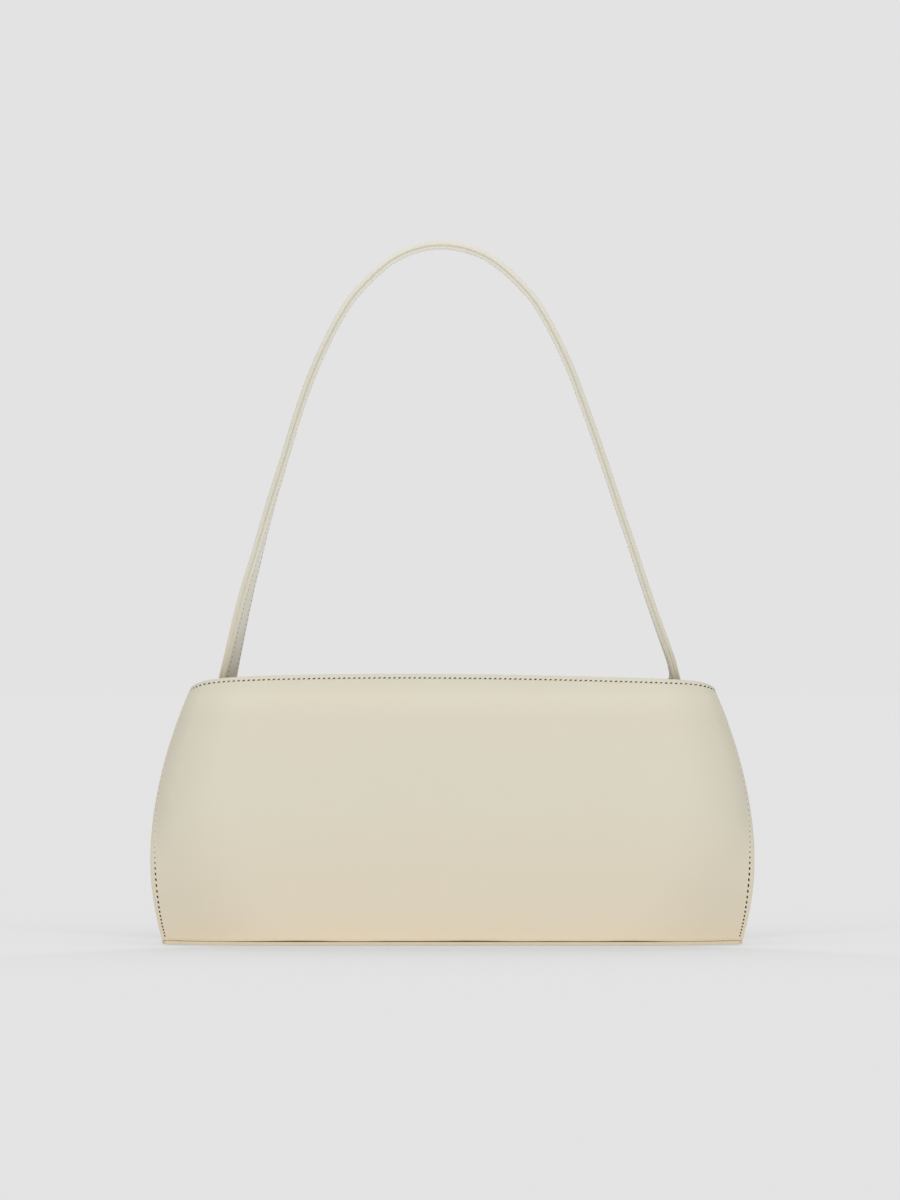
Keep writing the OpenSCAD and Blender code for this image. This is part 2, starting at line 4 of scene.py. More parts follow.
import bmesh
import bpy
import numpy as np
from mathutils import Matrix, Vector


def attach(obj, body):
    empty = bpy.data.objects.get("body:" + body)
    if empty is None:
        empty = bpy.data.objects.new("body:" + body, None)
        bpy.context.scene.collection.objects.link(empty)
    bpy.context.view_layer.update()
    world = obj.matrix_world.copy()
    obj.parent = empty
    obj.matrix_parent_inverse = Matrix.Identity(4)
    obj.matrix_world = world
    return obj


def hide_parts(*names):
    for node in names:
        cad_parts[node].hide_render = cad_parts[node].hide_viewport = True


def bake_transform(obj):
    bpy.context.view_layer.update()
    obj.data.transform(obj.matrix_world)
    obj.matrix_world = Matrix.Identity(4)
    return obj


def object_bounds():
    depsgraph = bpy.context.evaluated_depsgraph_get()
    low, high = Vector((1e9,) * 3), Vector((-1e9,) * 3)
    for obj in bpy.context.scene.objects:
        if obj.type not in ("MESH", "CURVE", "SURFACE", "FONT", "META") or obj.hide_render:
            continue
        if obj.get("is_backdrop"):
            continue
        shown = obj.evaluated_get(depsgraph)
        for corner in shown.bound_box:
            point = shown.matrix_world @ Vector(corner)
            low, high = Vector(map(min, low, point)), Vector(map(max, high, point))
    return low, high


bl_info = {
    "name": "Shoulder Bag",
    "version": (1, 0, 0),
    "blender": (4, 2, 0),
    "location": "View3D > Sidebar > Bag",
    "description": "Builds a smooth leather shoulder bag over its CAD frame",
    "category": "Object",
}

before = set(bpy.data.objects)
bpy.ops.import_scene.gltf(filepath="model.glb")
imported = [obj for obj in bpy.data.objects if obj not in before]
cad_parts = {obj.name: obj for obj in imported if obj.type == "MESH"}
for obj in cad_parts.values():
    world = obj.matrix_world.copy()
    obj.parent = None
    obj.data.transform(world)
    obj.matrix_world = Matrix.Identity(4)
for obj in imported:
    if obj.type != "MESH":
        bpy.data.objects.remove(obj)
MM = 0.001


# Settings
def srgb(red, green, blue):
    """A linear colour from display values of 0 to 255."""
    def linear(value):
        value /= 255
        return value / 12.92 if value <= 0.04045 else ((value + 0.055) / 1.055) ** 2.4
    return (linear(red), linear(green), linear(blue), 1.0)


def length(name, about, size):
    """A length in the sidebar, given here in millimetres."""
    return bpy.props.FloatProperty(
        name=name, description=about, default=size * MM, min=size * MM / 2, max=size * MM * 2,
        unit="LENGTH", precision=5)


def level(name, about, default, most=1.0):
    """A brightness or strength in the sidebar, as a share where it ends at 1."""
    return bpy.props.FloatProperty(name=name, description=about, default=default, min=0, max=most,
                                   subtype="FACTOR" if most == 1 else "NONE")


def colour(name, about, red, green, blue):
    """A colour in the sidebar."""
    return bpy.props.FloatVectorProperty(
        name=name, description=about, default=srgb(red, green, blue), size=4, min=0, max=1, subtype="COLOR")


class BagSizes(bpy.types.PropertyGroup):
    """Sizes that leave the body, and so its CAD frame, as they are."""

    strap_width: length("Strap width", "Width of the strap", 13.0)
    pocket_width: length("Pocket width", "Width of the slip pocket", 150.0)
    pocket_height: length("Pocket height", "Height of the slip pocket", 82.0)
    tab_width: length("Tab width", "Width of the closure tab", 24.0)
    tab_wall: length("Tab thickness", "Thickness of the closure tab", 2.2)
    magnet_width: length("Magnet diameter", "Diameter of both magnets", 14.0)
    magnet_wall: length("Magnet thickness", "Thickness of each magnet", 1.6)
    rim_pitch: length("Mouth stitch", "Length of a stitch at the mouth and on the tab", 2.84)
    side_pitch: length("Side stitch", "Length of a stitch on the side seams", 3.4)
    strap_pitch: length("Strap stitch", "Length of a stitch on the strap", 2.8)
    pocket_pitch: length("Pocket stitch", "Length of a stitch on the pocket", 3.0)


class BagColours(bpy.types.PropertyGroup):
    """Colours of the bag's finishes."""

    leather_tint: colour("Leather tint", "Tints all the smooth leather", 255, 255, 255)
    thread: colour("Thread", "Main colour of the thread", 236, 231, 214)
    thread_shade: colour("Thread shade", "Second colour of the thread", 222, 215, 194)
    lining: colour("Lining", "Main colour of the lining", 196, 183, 158)
    lining_shade: colour("Lining shade", "Colour between the lining's ribs", 180, 166, 140)
    steel: colour("Magnet", "Main colour of the magnets", 196, 190, 180)
    steel_shade: colour("Magnet shade", "Second colour of the magnets", 176, 170, 160)


class BagStage(bpy.types.PropertyGroup):
    """The light and the backdrop."""

    backdrop: level("Backdrop", "Brightness of the backdrop", 0.768)
    light: level("Light", "Strength of the light from all sides", 0.585, 4.0)
    front_light: level("Front light", "How much stronger the light is from the front", 1.7, 4.0)
    back_light: level("Back light", "Strength of the soft light from behind", 2.3, 6.0)
    floor_tone: level("Floor", "Brightness of the floor", 0.92)
    floor_shade: level("Floor shade", "Brightness of the floor close to the bag", 0.78)
    floor_glow: level("Floor evenness", "Share of the floor that the camera sees evenly lit", 0.75)


def mm(name):
    """One of the bag's sizes in millimetres."""
    return getattr(bpy.context.scene.bag_sizes, name) / MM


# The body's shape as its CAD frame has it, in millimetres, degrees and shares of its size
BASE_WIDTH, WIDEST_WIDTH, MOUTH_WIDTH = 326.0, 340.6, 296.0
HEIGHT, BASE_DEPTH, MOUTH_DEPTH = 152.0, 84.0, 40.0
PANEL_WALL, GUSSET_WALL, BASE_WALL, LINING_WALL = 1.8, 1.4, 1.8, 0.8
FACING_WALL, FACING_HEIGHT, HALF_MOUTH = 1.2, 34.0, MOUTH_WIDTH / 2
SEAM_EDGE, FLANGE_GAP, SOFT_GAP = 4.6, 0.1, 0.3
SEAM_GAP, CLOSED_GAP, CORNER_LIFT = 0.52, 0.08, 0.8
ROLL, MOUTH_ROLL, LEAST_ROLL = 13.0, 68.0, 1.0
MOUTH_BOW, DIP = 3.0, 3.0
RIM_SAG, RIM_CORNER, RIM_CROWN, RIM_LEAN = 3.0, 4.0, 0.25, 1.3
WIDEST_SHARE, EASE_SHARE, LEAD_SHARE = 0.345, 0.80, 0.35
HEM_WAVES = ((0.14, 9.5, 1.2), (0.08, 21.0, 0.0))
SWAY_WAVES = ((0.22, 31, 47, 0.0), (0.16, 17, -29, 1.1), (0.10, 53, 13, 0.4))
FLAT_SHARES = [i / 22 for i in range(1, 23)]
ROLL_SHARES = [i / 10 for i in range(1, 11)]
EDGE_SHARES = [0.25, 0.5, 0.75, 1.0]
ROW_SHARES = [0, 0.012, 0.024, 0.042, 0.065]
ROW_SHARES += [0.065 + 0.905 * i / 36 for i in range(1, 37)] + [0.979, 0.988, 1.0]


def smooth(s):
    """An even ease from 0 to 1."""
    s = min(max(s, 0.0), 1.0)
    return s * s * (3 - 2 * s)


def ease(value, start, reach):
    return smooth((value - start) / reach)


def mix(a, b, s):
    return a + (b - a) * s


def rim(share):
    """Height of the mouth's edge, whose left side stands a little higher than its right."""
    a = abs(share)
    lean = RIM_CROWN * (1 - a**4) - RIM_LEAN * share * (1 - 0.5 * a * a)
    return HEIGHT - RIM_SAG * a * a - RIM_CORNER * a**24 + lean * (1 - a**10)


def hem(share):
    """Height of the panels' lower edge: a thin open seam over the base that closes at the corners."""
    wave = sum(high * sin(pace * share + start) for high, pace, start in HEM_WAVES)
    gap = mix(SEAM_GAP + wave, CLOSED_GAP, ease(abs(share), 0.55, 0.35))
    return BASE_WALL + gap + CORNER_LIFT * share**8


def height_at(column, t):
    return mix(hem(column), rim(column), t)


def body_share(z, column):
    return (z - hem(column)) / (rim(column) - hem(column))


def half_width(t):
    wide = WIDEST_WIDTH / 2
    if t < WIDEST_SHARE:
        return wide - (wide - BASE_WIDTH / 2) * ((WIDEST_SHARE - t) / WIDEST_SHARE) ** 2
    return wide - (wide - HALF_MOUTH) * ((t - WIDEST_SHARE) / (1 - WIDEST_SHARE)) ** 1.85


def half_depth(t):
    return mix(BASE_DEPTH, MOUTH_DEPTH, max(t, 0.0) ** 1.3) / 2


def sinc(a):
    return sin(a) / a


def angles(t):
    """How far a panel has bowed, rolls, and leans into its roll, at one height."""
    bow = atan(2 * MOUTH_BOW * t / half_width(t))
    turn = radians(mix(LEAST_ROLL, MOUTH_ROLL, ease(t, 0.18, 0.44)))
    return bow, turn, LEAD_SHARE * turn * (1 - 0.55 * ease(t, 0.78, 0.2))


def eased(share, start, lead):
    """The extra depth and slope with which a panel's flat part leads into its roll."""
    far = max(0.0, (abs(share) - EASE_SHARE) / (1 - EASE_SHARE))
    slope = tan(lead)
    return slope * (1 - EASE_SHARE) * start * far * far / 2, slope * far


def roll_start(t):
    """Where the roll starts, so that the seam's edge ends at the half width."""
    bow, turn, lead = angles(t)
    first, last = atan(tan(bow) + tan(lead)), bow + turn
    chord = ROLL * sinc((last - first) / 2) * cos((first + last) / 2)
    return half_width(t) - chord - SEAM_EDGE * cos(last)


def half_section(t):
    """A panel's half section at one height: points across and in depth, with the angle turned."""
    bow, turn, lead = angles(t)
    last, deep, start = bow + turn, -half_depth(t), roll_start(t)
    points = []
    for s in FLAT_SHARES:
        depth, slope = eased(s, start, lead)
        points.append((start * s, deep + tan(bow) * start * s * s / 2 + depth,
                       atan(tan(bow * s) + slope)))
    corner = points[-1]
    rest = last - corner[2]
    for s in ROLL_SHARES:
        part = rest * s
        run, way = ROLL * s * sinc(part / 2), corner[2] + part / 2
        points.append((corner[0] + run * cos(way), corner[1] + run * sin(way), corner[2] + part))
    seam = points[-1]
    for s in EDGE_SHARES:
        run = SEAM_EDGE * s
        points.append((seam[0] + run * cos(last), seam[1] + run * sin(last), last))
    return points


def sway(x, z):
    """The leather's slight unevenness, outwards."""
    fade = min(1.0, max(0.0, (z - 4) / 20)) * min(1.0, max(0.0, (150 - z) / 12))
    calm = max(0.0, 1 - (abs(x) / 150) ** 4)
    return fade * calm * sum(high * sin(x / a + z / b + c) for high, a, b, c in SWAY_WAVES)


def section(t, inwards=0.0):
    """The whole section from left to right at one height share."""
    half = half_section(t)
    full = [(-x, y, -a) for x, y, a in reversed(half)] + [(0.0, -half_depth(t), 0.0)] + half
    return [(x - sin(a) * inwards, y + cos(a) * inwards, a) for x, y, a in full]


# Where a section's points lie across the mouth, as shares of its half width
COLUMNS = [x / HALF_MOUTH for x, _, _ in section(1.0)]


def panel_grid(inwards, side):
    """Points over a panel, from its hem up to the mouth. The side is 1 for the front, -1 for the back."""
    grid = []
    for t in ROW_SHARES:
        row = []
        for column, (x, y, a) in zip(COLUMNS, section(t)):
            z = height_at(side * column, t)
            push = inwards - sway(column * HALF_MOUTH, z)
            row.append((side * (x - sin(a) * push), side * (y + cos(a) * push), z))
        grid.append(row)
    return grid


def back_along(p, back, inwards):
    """A place back along a section's edge and inwards from it."""
    x, y, a = p
    return (x - back * cos(a) - inwards * sin(a), y - back * sin(a) + inwards * cos(a))


# Mesh helpers
ARC = 6
BOX_STEPS = 3
THREAD_SHARES, THREAD_SIDES, HOLE_SIDES = (-1.0, -0.82, -0.4, 0.0, 0.4, 0.82, 1.0), 6, 8
# Half a thread's and half a hole's length as shares of the pitch, and a hole's depth
THREAD_REACH, HOLE_REACH, HOLE_DEPTH = 0.26, 0.31, 0.3


def make(name, points, faces, materials, kinds):
    """A mesh object from points in millimetres, smooth and with its normals outwards."""
    mesh = bpy.data.meshes.new(name)
    mesh.from_pydata([(x * MM, y * MM, z * MM) for x, y, z in points], [], faces)
    for material in materials:
        mesh.materials.append(finish(material))
    mesh.polygons.foreach_set("material_index", kinds)
    bm = bmesh.new()
    bm.from_mesh(mesh)
    bmesh.ops.recalc_face_normals(bm, faces=bm.faces)
    bm.to_mesh(mesh)
    bm.free()
    mesh.shade_smooth()
    obj = bpy.data.objects.new(name, mesh)
    bpy.context.scene.collection.objects.link(obj)
    return obj


def unit(vector):
    return vector / np.linalg.norm(vector)


def run_of(places):
    """How far along a line each of its points lies."""
    return np.concatenate(([0], np.cumsum(np.linalg.norm(np.diff(places, axis=0), axis=1))))


def full_turn(steps):
    return [2 * pi * n / steps for n in range(steps)]


def quads(first, rows, cols, loop=True):
    """Faces between rows of points, the first of which has the given index."""
    for j in range(rows - 1):
        for i in range(cols if loop else cols - 1):
            a, b = first + j * cols + i, first + j * cols + (i + 1) % cols
            yield a, b, b + cols, a + cols


def rounded(half_x, half_y, radius, steps, side_steps=1):
    """Points round a rounded rectangle, with more on its long sides where side_steps asks for them."""
    points, reach = [], half_x - radius
    for quarter, (sx, sy) in enumerate(((1, 1), (-1, 1), (-1, -1), (1, -1))):
        for n in range(steps + 1):
            turn = pi / 2 * (quarter + n / steps)
            points.append((sx * reach + radius * cos(turn), sy * (half_y - radius) + radius * sin(turn)))
        if sx == sy:
            points += [(sx * reach * (1 - 2 * n / side_steps), sy * half_y) for n in range(1, side_steps)]
    return points


def shell(name, outer, inner, materials, bulge, loop=False):
    """A sheet with thickness between two grids of points, its free edges rounded.
    Face kinds: 0 outside, 1 edge, 2 inside."""
    outer, inner = np.array(outer, float), np.array(inner, float)
    rows, cols = outer.shape[:2]
    count = rows * cols
    points = [tuple(p) for grid in (outer, inner) for p in grid.reshape(-1, 3)]
    faces, kinds = [], []
    for a, b, c, d in quads(0, rows, cols, loop):
        faces += [(a, b, c, d), (d + count, c + count, b + count, a + count)]
        kinds += [0, 2]
    low, high = ([(j, i) for i in range(cols)] for j in (0, rows - 1))
    up, down = ([(j, i) for j in range(1, rows - 1)] for i in (cols - 1, 0))
    for path in [low, high[::-1]] if loop else [low + up + high[::-1] + down[::-1]]:
        arcs = []
        for j, i in path:
            p, q, at = outer[j, i], inner[j, i], j * cols + i
            away = np.zeros(3)
            if j in (0, rows - 1):
                away += unit(p - outer[j + (1 if j == 0 else -1), i])
            if not loop and i in (0, cols - 1):
                away += unit(p - outer[j, i + (1 if i == 0 else -1)])
            away = unit(away) * np.linalg.norm(p - q) * bulge
            p, q = p - away, q - away
            points[at], points[at + count] = tuple(p), tuple(q)
            ring = [at]
            for n in range(1, ARC):
                turn = pi * n / ARC
                ring.append(len(points))
                points.append(tuple((p + q) / 2 + (p - q) / 2 * cos(turn) + away * sin(turn)))
            arcs.append(ring + [at + count])
        for ring, other in zip(arcs, arcs[1:] + arcs[:1]):
            faces += [(other[k], ring[k], ring[k + 1], other[k + 1]) for k in range(ARC)]
            kinds += [1] * ARC
    return make(name, points, faces, materials, kinds)


def whole(ring, side):
    """The kind of every face of a solid with one material."""
    return 0


def sweep(name, rings, materials, kind=whole):
    """A closed solid through rings of points."""
    sides, last = len(rings[0]), len(rings) - 1
    faces = list(quads(0, len(rings), sides))
    kinds = [kind(n // sides, n % sides) for n in range(len(faces))] + [kind(0, 0)] * 2
    faces += [tuple(range(sides)), tuple(range(last * sides, (last + 1) * sides))]
    return make(name, [p for ring in rings for p in ring], faces, materials, kinds)


def box_ring(centre, across, out, half_w, half_t, radius):
    """A ring of points round a rounded rectangle in space."""
    centre, across, out = np.array(centre), np.array(across), np.array(out)
    radius = min(radius, half_t * 0.98, half_w * 0.98)
    return [tuple(centre + across * w + out * t) for w, t in rounded(half_w, half_t, radius, BOX_STEPS)]


def walk(path, pitch, trim, close):
    """Places along a path of (place, normal): place, direction, normal and the pitch there.
    With close, the pitch starts at that share of itself and grows to the whole."""
    places, normals = (np.array(part, float) for part in zip(*path))
    run = run_of(places)

    def at(s, values):
        return np.array([np.interp(s, run, line) for line in values.T])

    if close:
        stops, s = [], trim + 0.7
        while s < run[-1] - trim:
            stops.append((s, pitch * mix(close, 1.0, ease(s, trim, 30))))
            s += stops[-1][1]
    else:
        span = run[-1] - 2 * trim
        count = max(1, int(span / pitch))
        start = trim + (span - count * pitch) / 2 + pitch / 2
        stops = [(start + n * pitch, pitch) for n in range(count)]
    found = []
    for s, step in stops:
        way = unit(at(s + 0.5, places) - at(s - 0.5, places))
        normal = at(s, normals)
        found.append((at(s, places), way, unit(normal - way * normal.dot(way)), step))
    return found


def stitches(name, paths, materials, pitch, slant=0.22, width=0.62, hole=0.48, trim=0.0, proud=0.3,
             close=0.0, tilt=0.5, top=0.1):
    """Rows of single stitches that dive into a hole at each end, drawn dark as painted shade. Kinds: 0
    thread, 1 hole.
    """
    points, faces, kinds = [], [], []
    rng = np.random.default_rng(7)
    for path in paths:
        for place, way, normal, step in walk(path, pitch, trim, close):
            side = np.cross(normal, way)
            lean = slant + rng.normal(0, 0.03)
            along = way * cos(lean) + side * sin(lean)
            cross = np.cross(normal, along)
            half = step * THREAD_REACH * (1 + rng.normal(0, 0.02))
            first = len(points)
            for u in THREAD_SHARES:
                fat = width / 2 * (1 - 0.55 * abs(u) ** 3)
                lift = width * (proud - 0.62 * abs(u) ** 2.5)
                for turn in full_turn(THREAD_SIDES):
                    points.append(tuple(place + along * (u * half) + cross * (fat * cos(turn))
                                        + normal * (lift + fat * sin(turn))))
            base = len(points)
            faces += quads(first, len(THREAD_SHARES), THREAD_SIDES)
            faces += [tuple(range(first, first + THREAD_SIDES)), tuple(range(base - THREAD_SIDES, base))]
            kinds += [0] * (len(faces) - len(kinds))
            centre = place + way * (step / 2)
            slit = way * cos(tilt) + side * sin(tilt)
            flat = np.cross(normal, slit)
            for n, turn in enumerate(full_turn(HOLE_SIDES)):
                points.append(tuple(centre + slit * (step * HOLE_REACH * cos(turn))
                                    + flat * (hole * sin(turn))))
                a, b, tip = base + n, base + (n + 1) % HOLE_SIDES, base + HOLE_SIDES
                faces += [(a, b, tip), (b, a, tip + 1)]
            # The hole rises a little above the leather in its dark finish: painted shade for the hole and the
            # thread's shadow, over a real recess below.
            points += [tuple(centre + normal * top), tuple(centre - normal * HOLE_DEPTH)]
            kinds += [1] * (len(faces) - len(kinds))
    return make(name, points, faces, materials, kinds)


# Shader helpers
def feed(tree, node, key, value):
    """Give a node's input a value, or link it to another node's output."""
    if isinstance(value, bpy.types.NodeSocket):
        tree.links.new(value, node.inputs[key])
    else:
        node.inputs[key].default_value = value


def add(tree, kind, feeds=None, **settings):
    """A new shader node with its settings and inputs."""
    node = tree.nodes.new("ShaderNode" + kind)
    for key, value in settings.items():
        setattr(node, key, value)
    for key, value in (feeds or {}).items():
        feed(tree, node, key, value)
    return node


def calc(tree, operation, *values):
    """What a Math node makes of one to three values."""
    return add(tree, "Math", dict(enumerate(values)), operation=operation).outputs[0]


def mixed(tree, share, first, second, blend="MIX"):
    """A mix of two colours: a Mix node keeps them at its inputs 6 and 7."""
    return add(tree, "Mix", {0: share, 6: first, 7: second}, data_type="RGBA", blend_type=blend).outputs[2]


def noise(tree, place, scale, detail):
    return add(tree, "TexNoise", {"Vector": place, "Scale": scale, "Detail": detail}).outputs["Fac"]


def bumped(tree, height, strength, depth):
    return add(tree, "Bump", {"Strength": strength, "Distance": depth, "Height": height}).outputs["Normal"]


def object_place(tree):
    return add(tree, "TexCoord").outputs["Object"]


def blank(name):
    """A new material and its node tree."""
    material = bpy.data.materials.new(name)
    material.use_nodes = True
    return material, material.node_tree


def shade(tree, base, normal, roughness, shine, metallic=0.0):
    """Feed the material's own shader."""
    shader = tree.nodes["Principled BSDF"]
    for key, value in (("Base Color", base), ("Normal", normal), ("Roughness", roughness),
                       ("Specular IOR Level", shine), ("Metallic", metallic)):
        feed(tree, shader, key, value)


# Materials
# The colour a leather mottles towards, the heights in metres that their stops span, and the stops. The stops
# paint light and shade by height: painted bounce light from the floor low on the panels (lighter and warmer),
# a painted highlight below the mouth and painted shade in a band at its edge, and painted shade where the
# strap comes out of the mouth.
LEATHERS = {
    "Bone leather": ((216, 209, 189), 0.0, 0.16, (
        (0.0, (226, 210, 181)), (0.05, (222, 207, 182)), (0.13, (218, 207, 186)), (0.5, (216, 210, 192)),
        (0.79, (217, 210, 192)), (0.87, (221, 215, 196)), (0.935, (214, 210, 191)))),
    "Strap leather": ((222, 217, 200), 0.15, 0.39, (
        (0.0, (199, 190, 169)), (0.12, (210, 204, 185)), (0.25, (213, 210, 195)), (0.7, (213, 210, 196)),
        (1.0, (228, 225, 212)))),
    # The strap's inner leather is drawn lighter than its outer leather: painted light for a face that turns
    # away from the light.
    "Strap inner leather": ((230, 226, 212), 0.15, 0.39, (
        (0.0, (206, 198, 178)), (0.12, (228, 223, 208)), (0.25, (238, 234, 221)), (1.0, (241, 239, 229)))),
    "Strap inner edge": ((214, 210, 195), 0.15, 0.39, (
        (0.0, (186, 178, 158)), (0.12, (206, 201, 184)), (0.25, (217, 213, 198)), (0.7, (218, 215, 201)),
        (1.0, (223, 220, 208)))),
}
# Two colours or their settings' names, roughness, a noise's scale and depth, metal and stretch
FINISHES = {
    "Edge paint": ((222, 217, 200), (214, 208, 188), 0.42, 500.0, 0.00006),
    "Base edge": ((217, 202, 173), (209, 195, 167), 0.6, 300.0, 0.00008),
    "Leather reverse": ((206, 194, 170), (192, 178, 152), 0.85, 700.0, 0.0002),
    "Tape": ((212, 207, 190), (202, 196, 178), 0.8, 900.0, 0.0001),
    "Seam shadow": ((110, 94, 62), (88, 74, 48), 0.9, 200.0, 0.0001),
    "Board": ((140, 134, 124), (126, 120, 110), 0.9, 300.0, 0.0002),
    # The needle holes' dark colours are painted shade in the holes.
    "Strap needle hole": ((122, 112, 88), (98, 88, 66), 0.9, 300.0, 0.00002),
    "Needle hole": ((52, 44, 26), (40, 34, 20), 0.9, 300.0, 0.00002),
    "Thread": ("thread", "thread_shade", 0.6, 2500.0, 0.0001),
    "Magnet steel": ("steel", "steel_shade", 0.32, 700.0, 0.00002, 1.0, (1, 1, 6)),
}
# A piece's outside, cut edge and inside
OUTSIDE = ("Bone leather", "Edge paint", "Leather reverse")
INSIDE_OUT = OUTSIDE[::-1]
THREADS = ("Thread", "Needle hole")
GRAIN_CELL, GRAIN_DEPTH = 1500.0, 0.00006
# How much darker the panels are drawn at their rolled ends: painted shade where the light falls off.
ENDS_PAINTED_SHADE = (0.915, 0.92, 0.915, 1.0)


def grain_group():
    """Fine leather grain: a mask for mottling, a share of the height above the floor, and a normal."""
    group = bpy.data.node_groups.get("Leather grain")
    if group:
        return group
    group = bpy.data.node_groups.new("Leather grain", "ShaderNodeTree")
    for name in ("Cell", "Depth", "Low", "High"):
        group.interface.new_socket(name, in_out="INPUT", socket_type="NodeSocketFloat")
    for name, kind in (("Mottle", "Float"), ("Height", "Float"), ("Normal", "Vector")):
        group.interface.new_socket(name, in_out="OUTPUT", socket_type="NodeSocket" + kind)
    given, out = group.nodes.new("NodeGroupInput").outputs, group.nodes.new("NodeGroupOutput")
    place = object_place(group)
    cells = add(group, "TexVoronoi", {"Vector": place, "Scale": given["Cell"], "Randomness": 1.0},
                feature="DISTANCE_TO_EDGE")
    rise = calc(group, "MULTIPLY_ADD", noise(group, place, 900.0, 4.0), 0.6, cells.outputs["Distance"])
    split = add(group, "SeparateXYZ", {0: place})
    up = add(group, "MapRange", {"From Min": given["Low"], "From Max": given["High"],
                                 "Value": split.outputs["Z"]})
    feed(group, out, "Mottle", noise(group, place, 22.0, 3.0))
    feed(group, out, "Height", up.outputs["Result"])
    feed(group, out, "Normal", bumped(group, rise, 0.5, given["Depth"]))
    return group


def tinted(rgb):
    """A leather colour under the tint of the sidebar."""
    return [a * b for a, b in zip(srgb(*rgb), bpy.context.scene.bag_colours.leather_tint)]


def paint(which):
    """A colour of the sidebar by its name, or one from display values."""
    return getattr(bpy.context.scene.bag_colours, which) if isinstance(which, str) else srgb(*which)


def finish(name):
    """The material of that name, built when it's first asked for."""
    if name in bpy.data.materials:
        return bpy.data.materials[name]
    if name in LEATHERS:
        return leather(name, *LEATHERS[name])
    return plain(name, *FINISHES[name]) if name in FINISHES else twill(name)


def leather(name, dim, low, high, stops):
    """Smooth leather: its colour changes with height through the stops, which paint light and shade, and
    mottles towards dim.
    """
    material, tree = blank(name)
    grain = tree.nodes.new("ShaderNodeGroup")
    grain.node_tree = grain_group()
    for key, value in (("Cell", GRAIN_CELL), ("Depth", GRAIN_DEPTH), ("Low", low), ("High", high)):
        grain.inputs[key].default_value = value
    # The ramp paints light and shade by height, from the stops.
    painted_light_ramp = add(tree, "ValToRGB", {"Fac": grain.outputs["Height"]})
    ramp = painted_light_ramp.color_ramp.elements
    while len(ramp) < len(stops):
        ramp.new(0.5)
    for mark, (place, rgb) in zip(ramp, stops):
        mark.position, mark.color = place, tinted(rgb)
    share = add(tree, "MapRange", {"From Min": 0.3, "From Max": 0.75, "To Max": 0.35,
                                   "Value": grain.outputs["Mottle"]})
    mottled = mixed(tree, share.outputs["Result"], painted_light_ramp.outputs["Color"], tinted(dim))
    # Painted shade: darker towards the panels' rolled ends, through their ends attribute.
    painted_end_shade = add(tree, "Attribute", attribute_name="ends")
    done = mixed(tree, painted_end_shade.outputs["Fac"], mottled, ENDS_PAINTED_SHADE, "MULTIPLY")
    shade(tree, done, grain.outputs["Normal"], 0.5, 0.35)
    return material


def plain(name, first, second, roughness, scale, depth, metallic=0.0, stretch=(1, 1, 1)):
    """A simple finish whose colour and height vary with a noise."""
    material, tree = blank(name)
    squeeze = add(tree, "Mapping", {"Scale": stretch, "Vector": object_place(tree)})
    cloud = noise(tree, squeeze.outputs[0], scale, 3.0)
    shade(tree, mixed(tree, cloud, paint(first), paint(second)), bumped(tree, cloud, 0.5, depth), roughness,
          0.3, metallic)
    return material


def twill(name):
    """Fine twill: slanted ribs with a soft nap."""
    material, tree = blank(name)
    turned = add(tree, "Mapping", {"Rotation": (0.0, radians(45), 0.0), "Vector": object_place(tree)})
    ribs = add(tree, "TexWave", {"Scale": 1400.0 / 6, "Distortion": 1.0, "Detail": 1.0,
                                 "Vector": turned.outputs[0]}, bands_direction="X").outputs["Fac"]
    shade(tree, mixed(tree, ribs, paint("lining"), paint("lining_shade")), bumped(tree, ribs, 0.6, 0.00015),
          0.9, 0.2)
    return material


# The panels, gussets and base
class PanelsOperator(bpy.types.Operator):
    """Build the front and back panels."""

    bl_idname = "bag.panels"
    bl_label = "Panels"

    def execute(self, context):
        for name, side in (("front_panel_leather", 1), ("back_panel_leather", -1)):
            obj = shell(name, panel_grid(0.0, side), panel_grid(PANEL_WALL, side), OUTSIDE, 0.14)
            # The ends attribute paints shade: it nears 1 towards the rolled ends, where the leather is drawn
            # darker.
            painted_end_shade = obj.data.attributes.new("ends", "FLOAT", "POINT")
            for mark, vertex in zip(painted_end_shade.data, obj.data.vertices):
                x, _, z = vertex.co / MM
                short = half_width(min(max(z / HEIGHT, 0.0), 1.0)) - abs(x)
                mark.value = smooth(1.1 - short / mix(75, 34, smooth(z / 90)))
            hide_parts(name.replace("_leather", ""))
            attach(obj, "body")
        return {"FINISHED"}


FOLD_ROUNDS = (1.6, 2.4)


def gusset_fold(t):
    """Where a gusset's flange folds away from the panel."""
    return back_along(half_section(t)[-1], SEAM_EDGE - GUSSET_WALL, PANEL_WALL + FLANGE_GAP + GUSSET_WALL)


def bend_corner(before, corner, after, radius, steps=5):
    """Points of a smooth bend in place of a corner."""
    before, corner, after = np.array(before), np.array(corner), np.array(after)
    into, outof = before - corner, after - corner
    a = corner + unit(into) * min(radius, np.linalg.norm(into) * 0.45)
    b = corner + unit(outof) * min(radius, np.linalg.norm(outof) * 0.45)
    return [tuple(a * (1 - s) ** 2 + corner * 2 * s * (1 - s) + b * s * s)
            for s in (n / steps for n in range(steps + 1))]


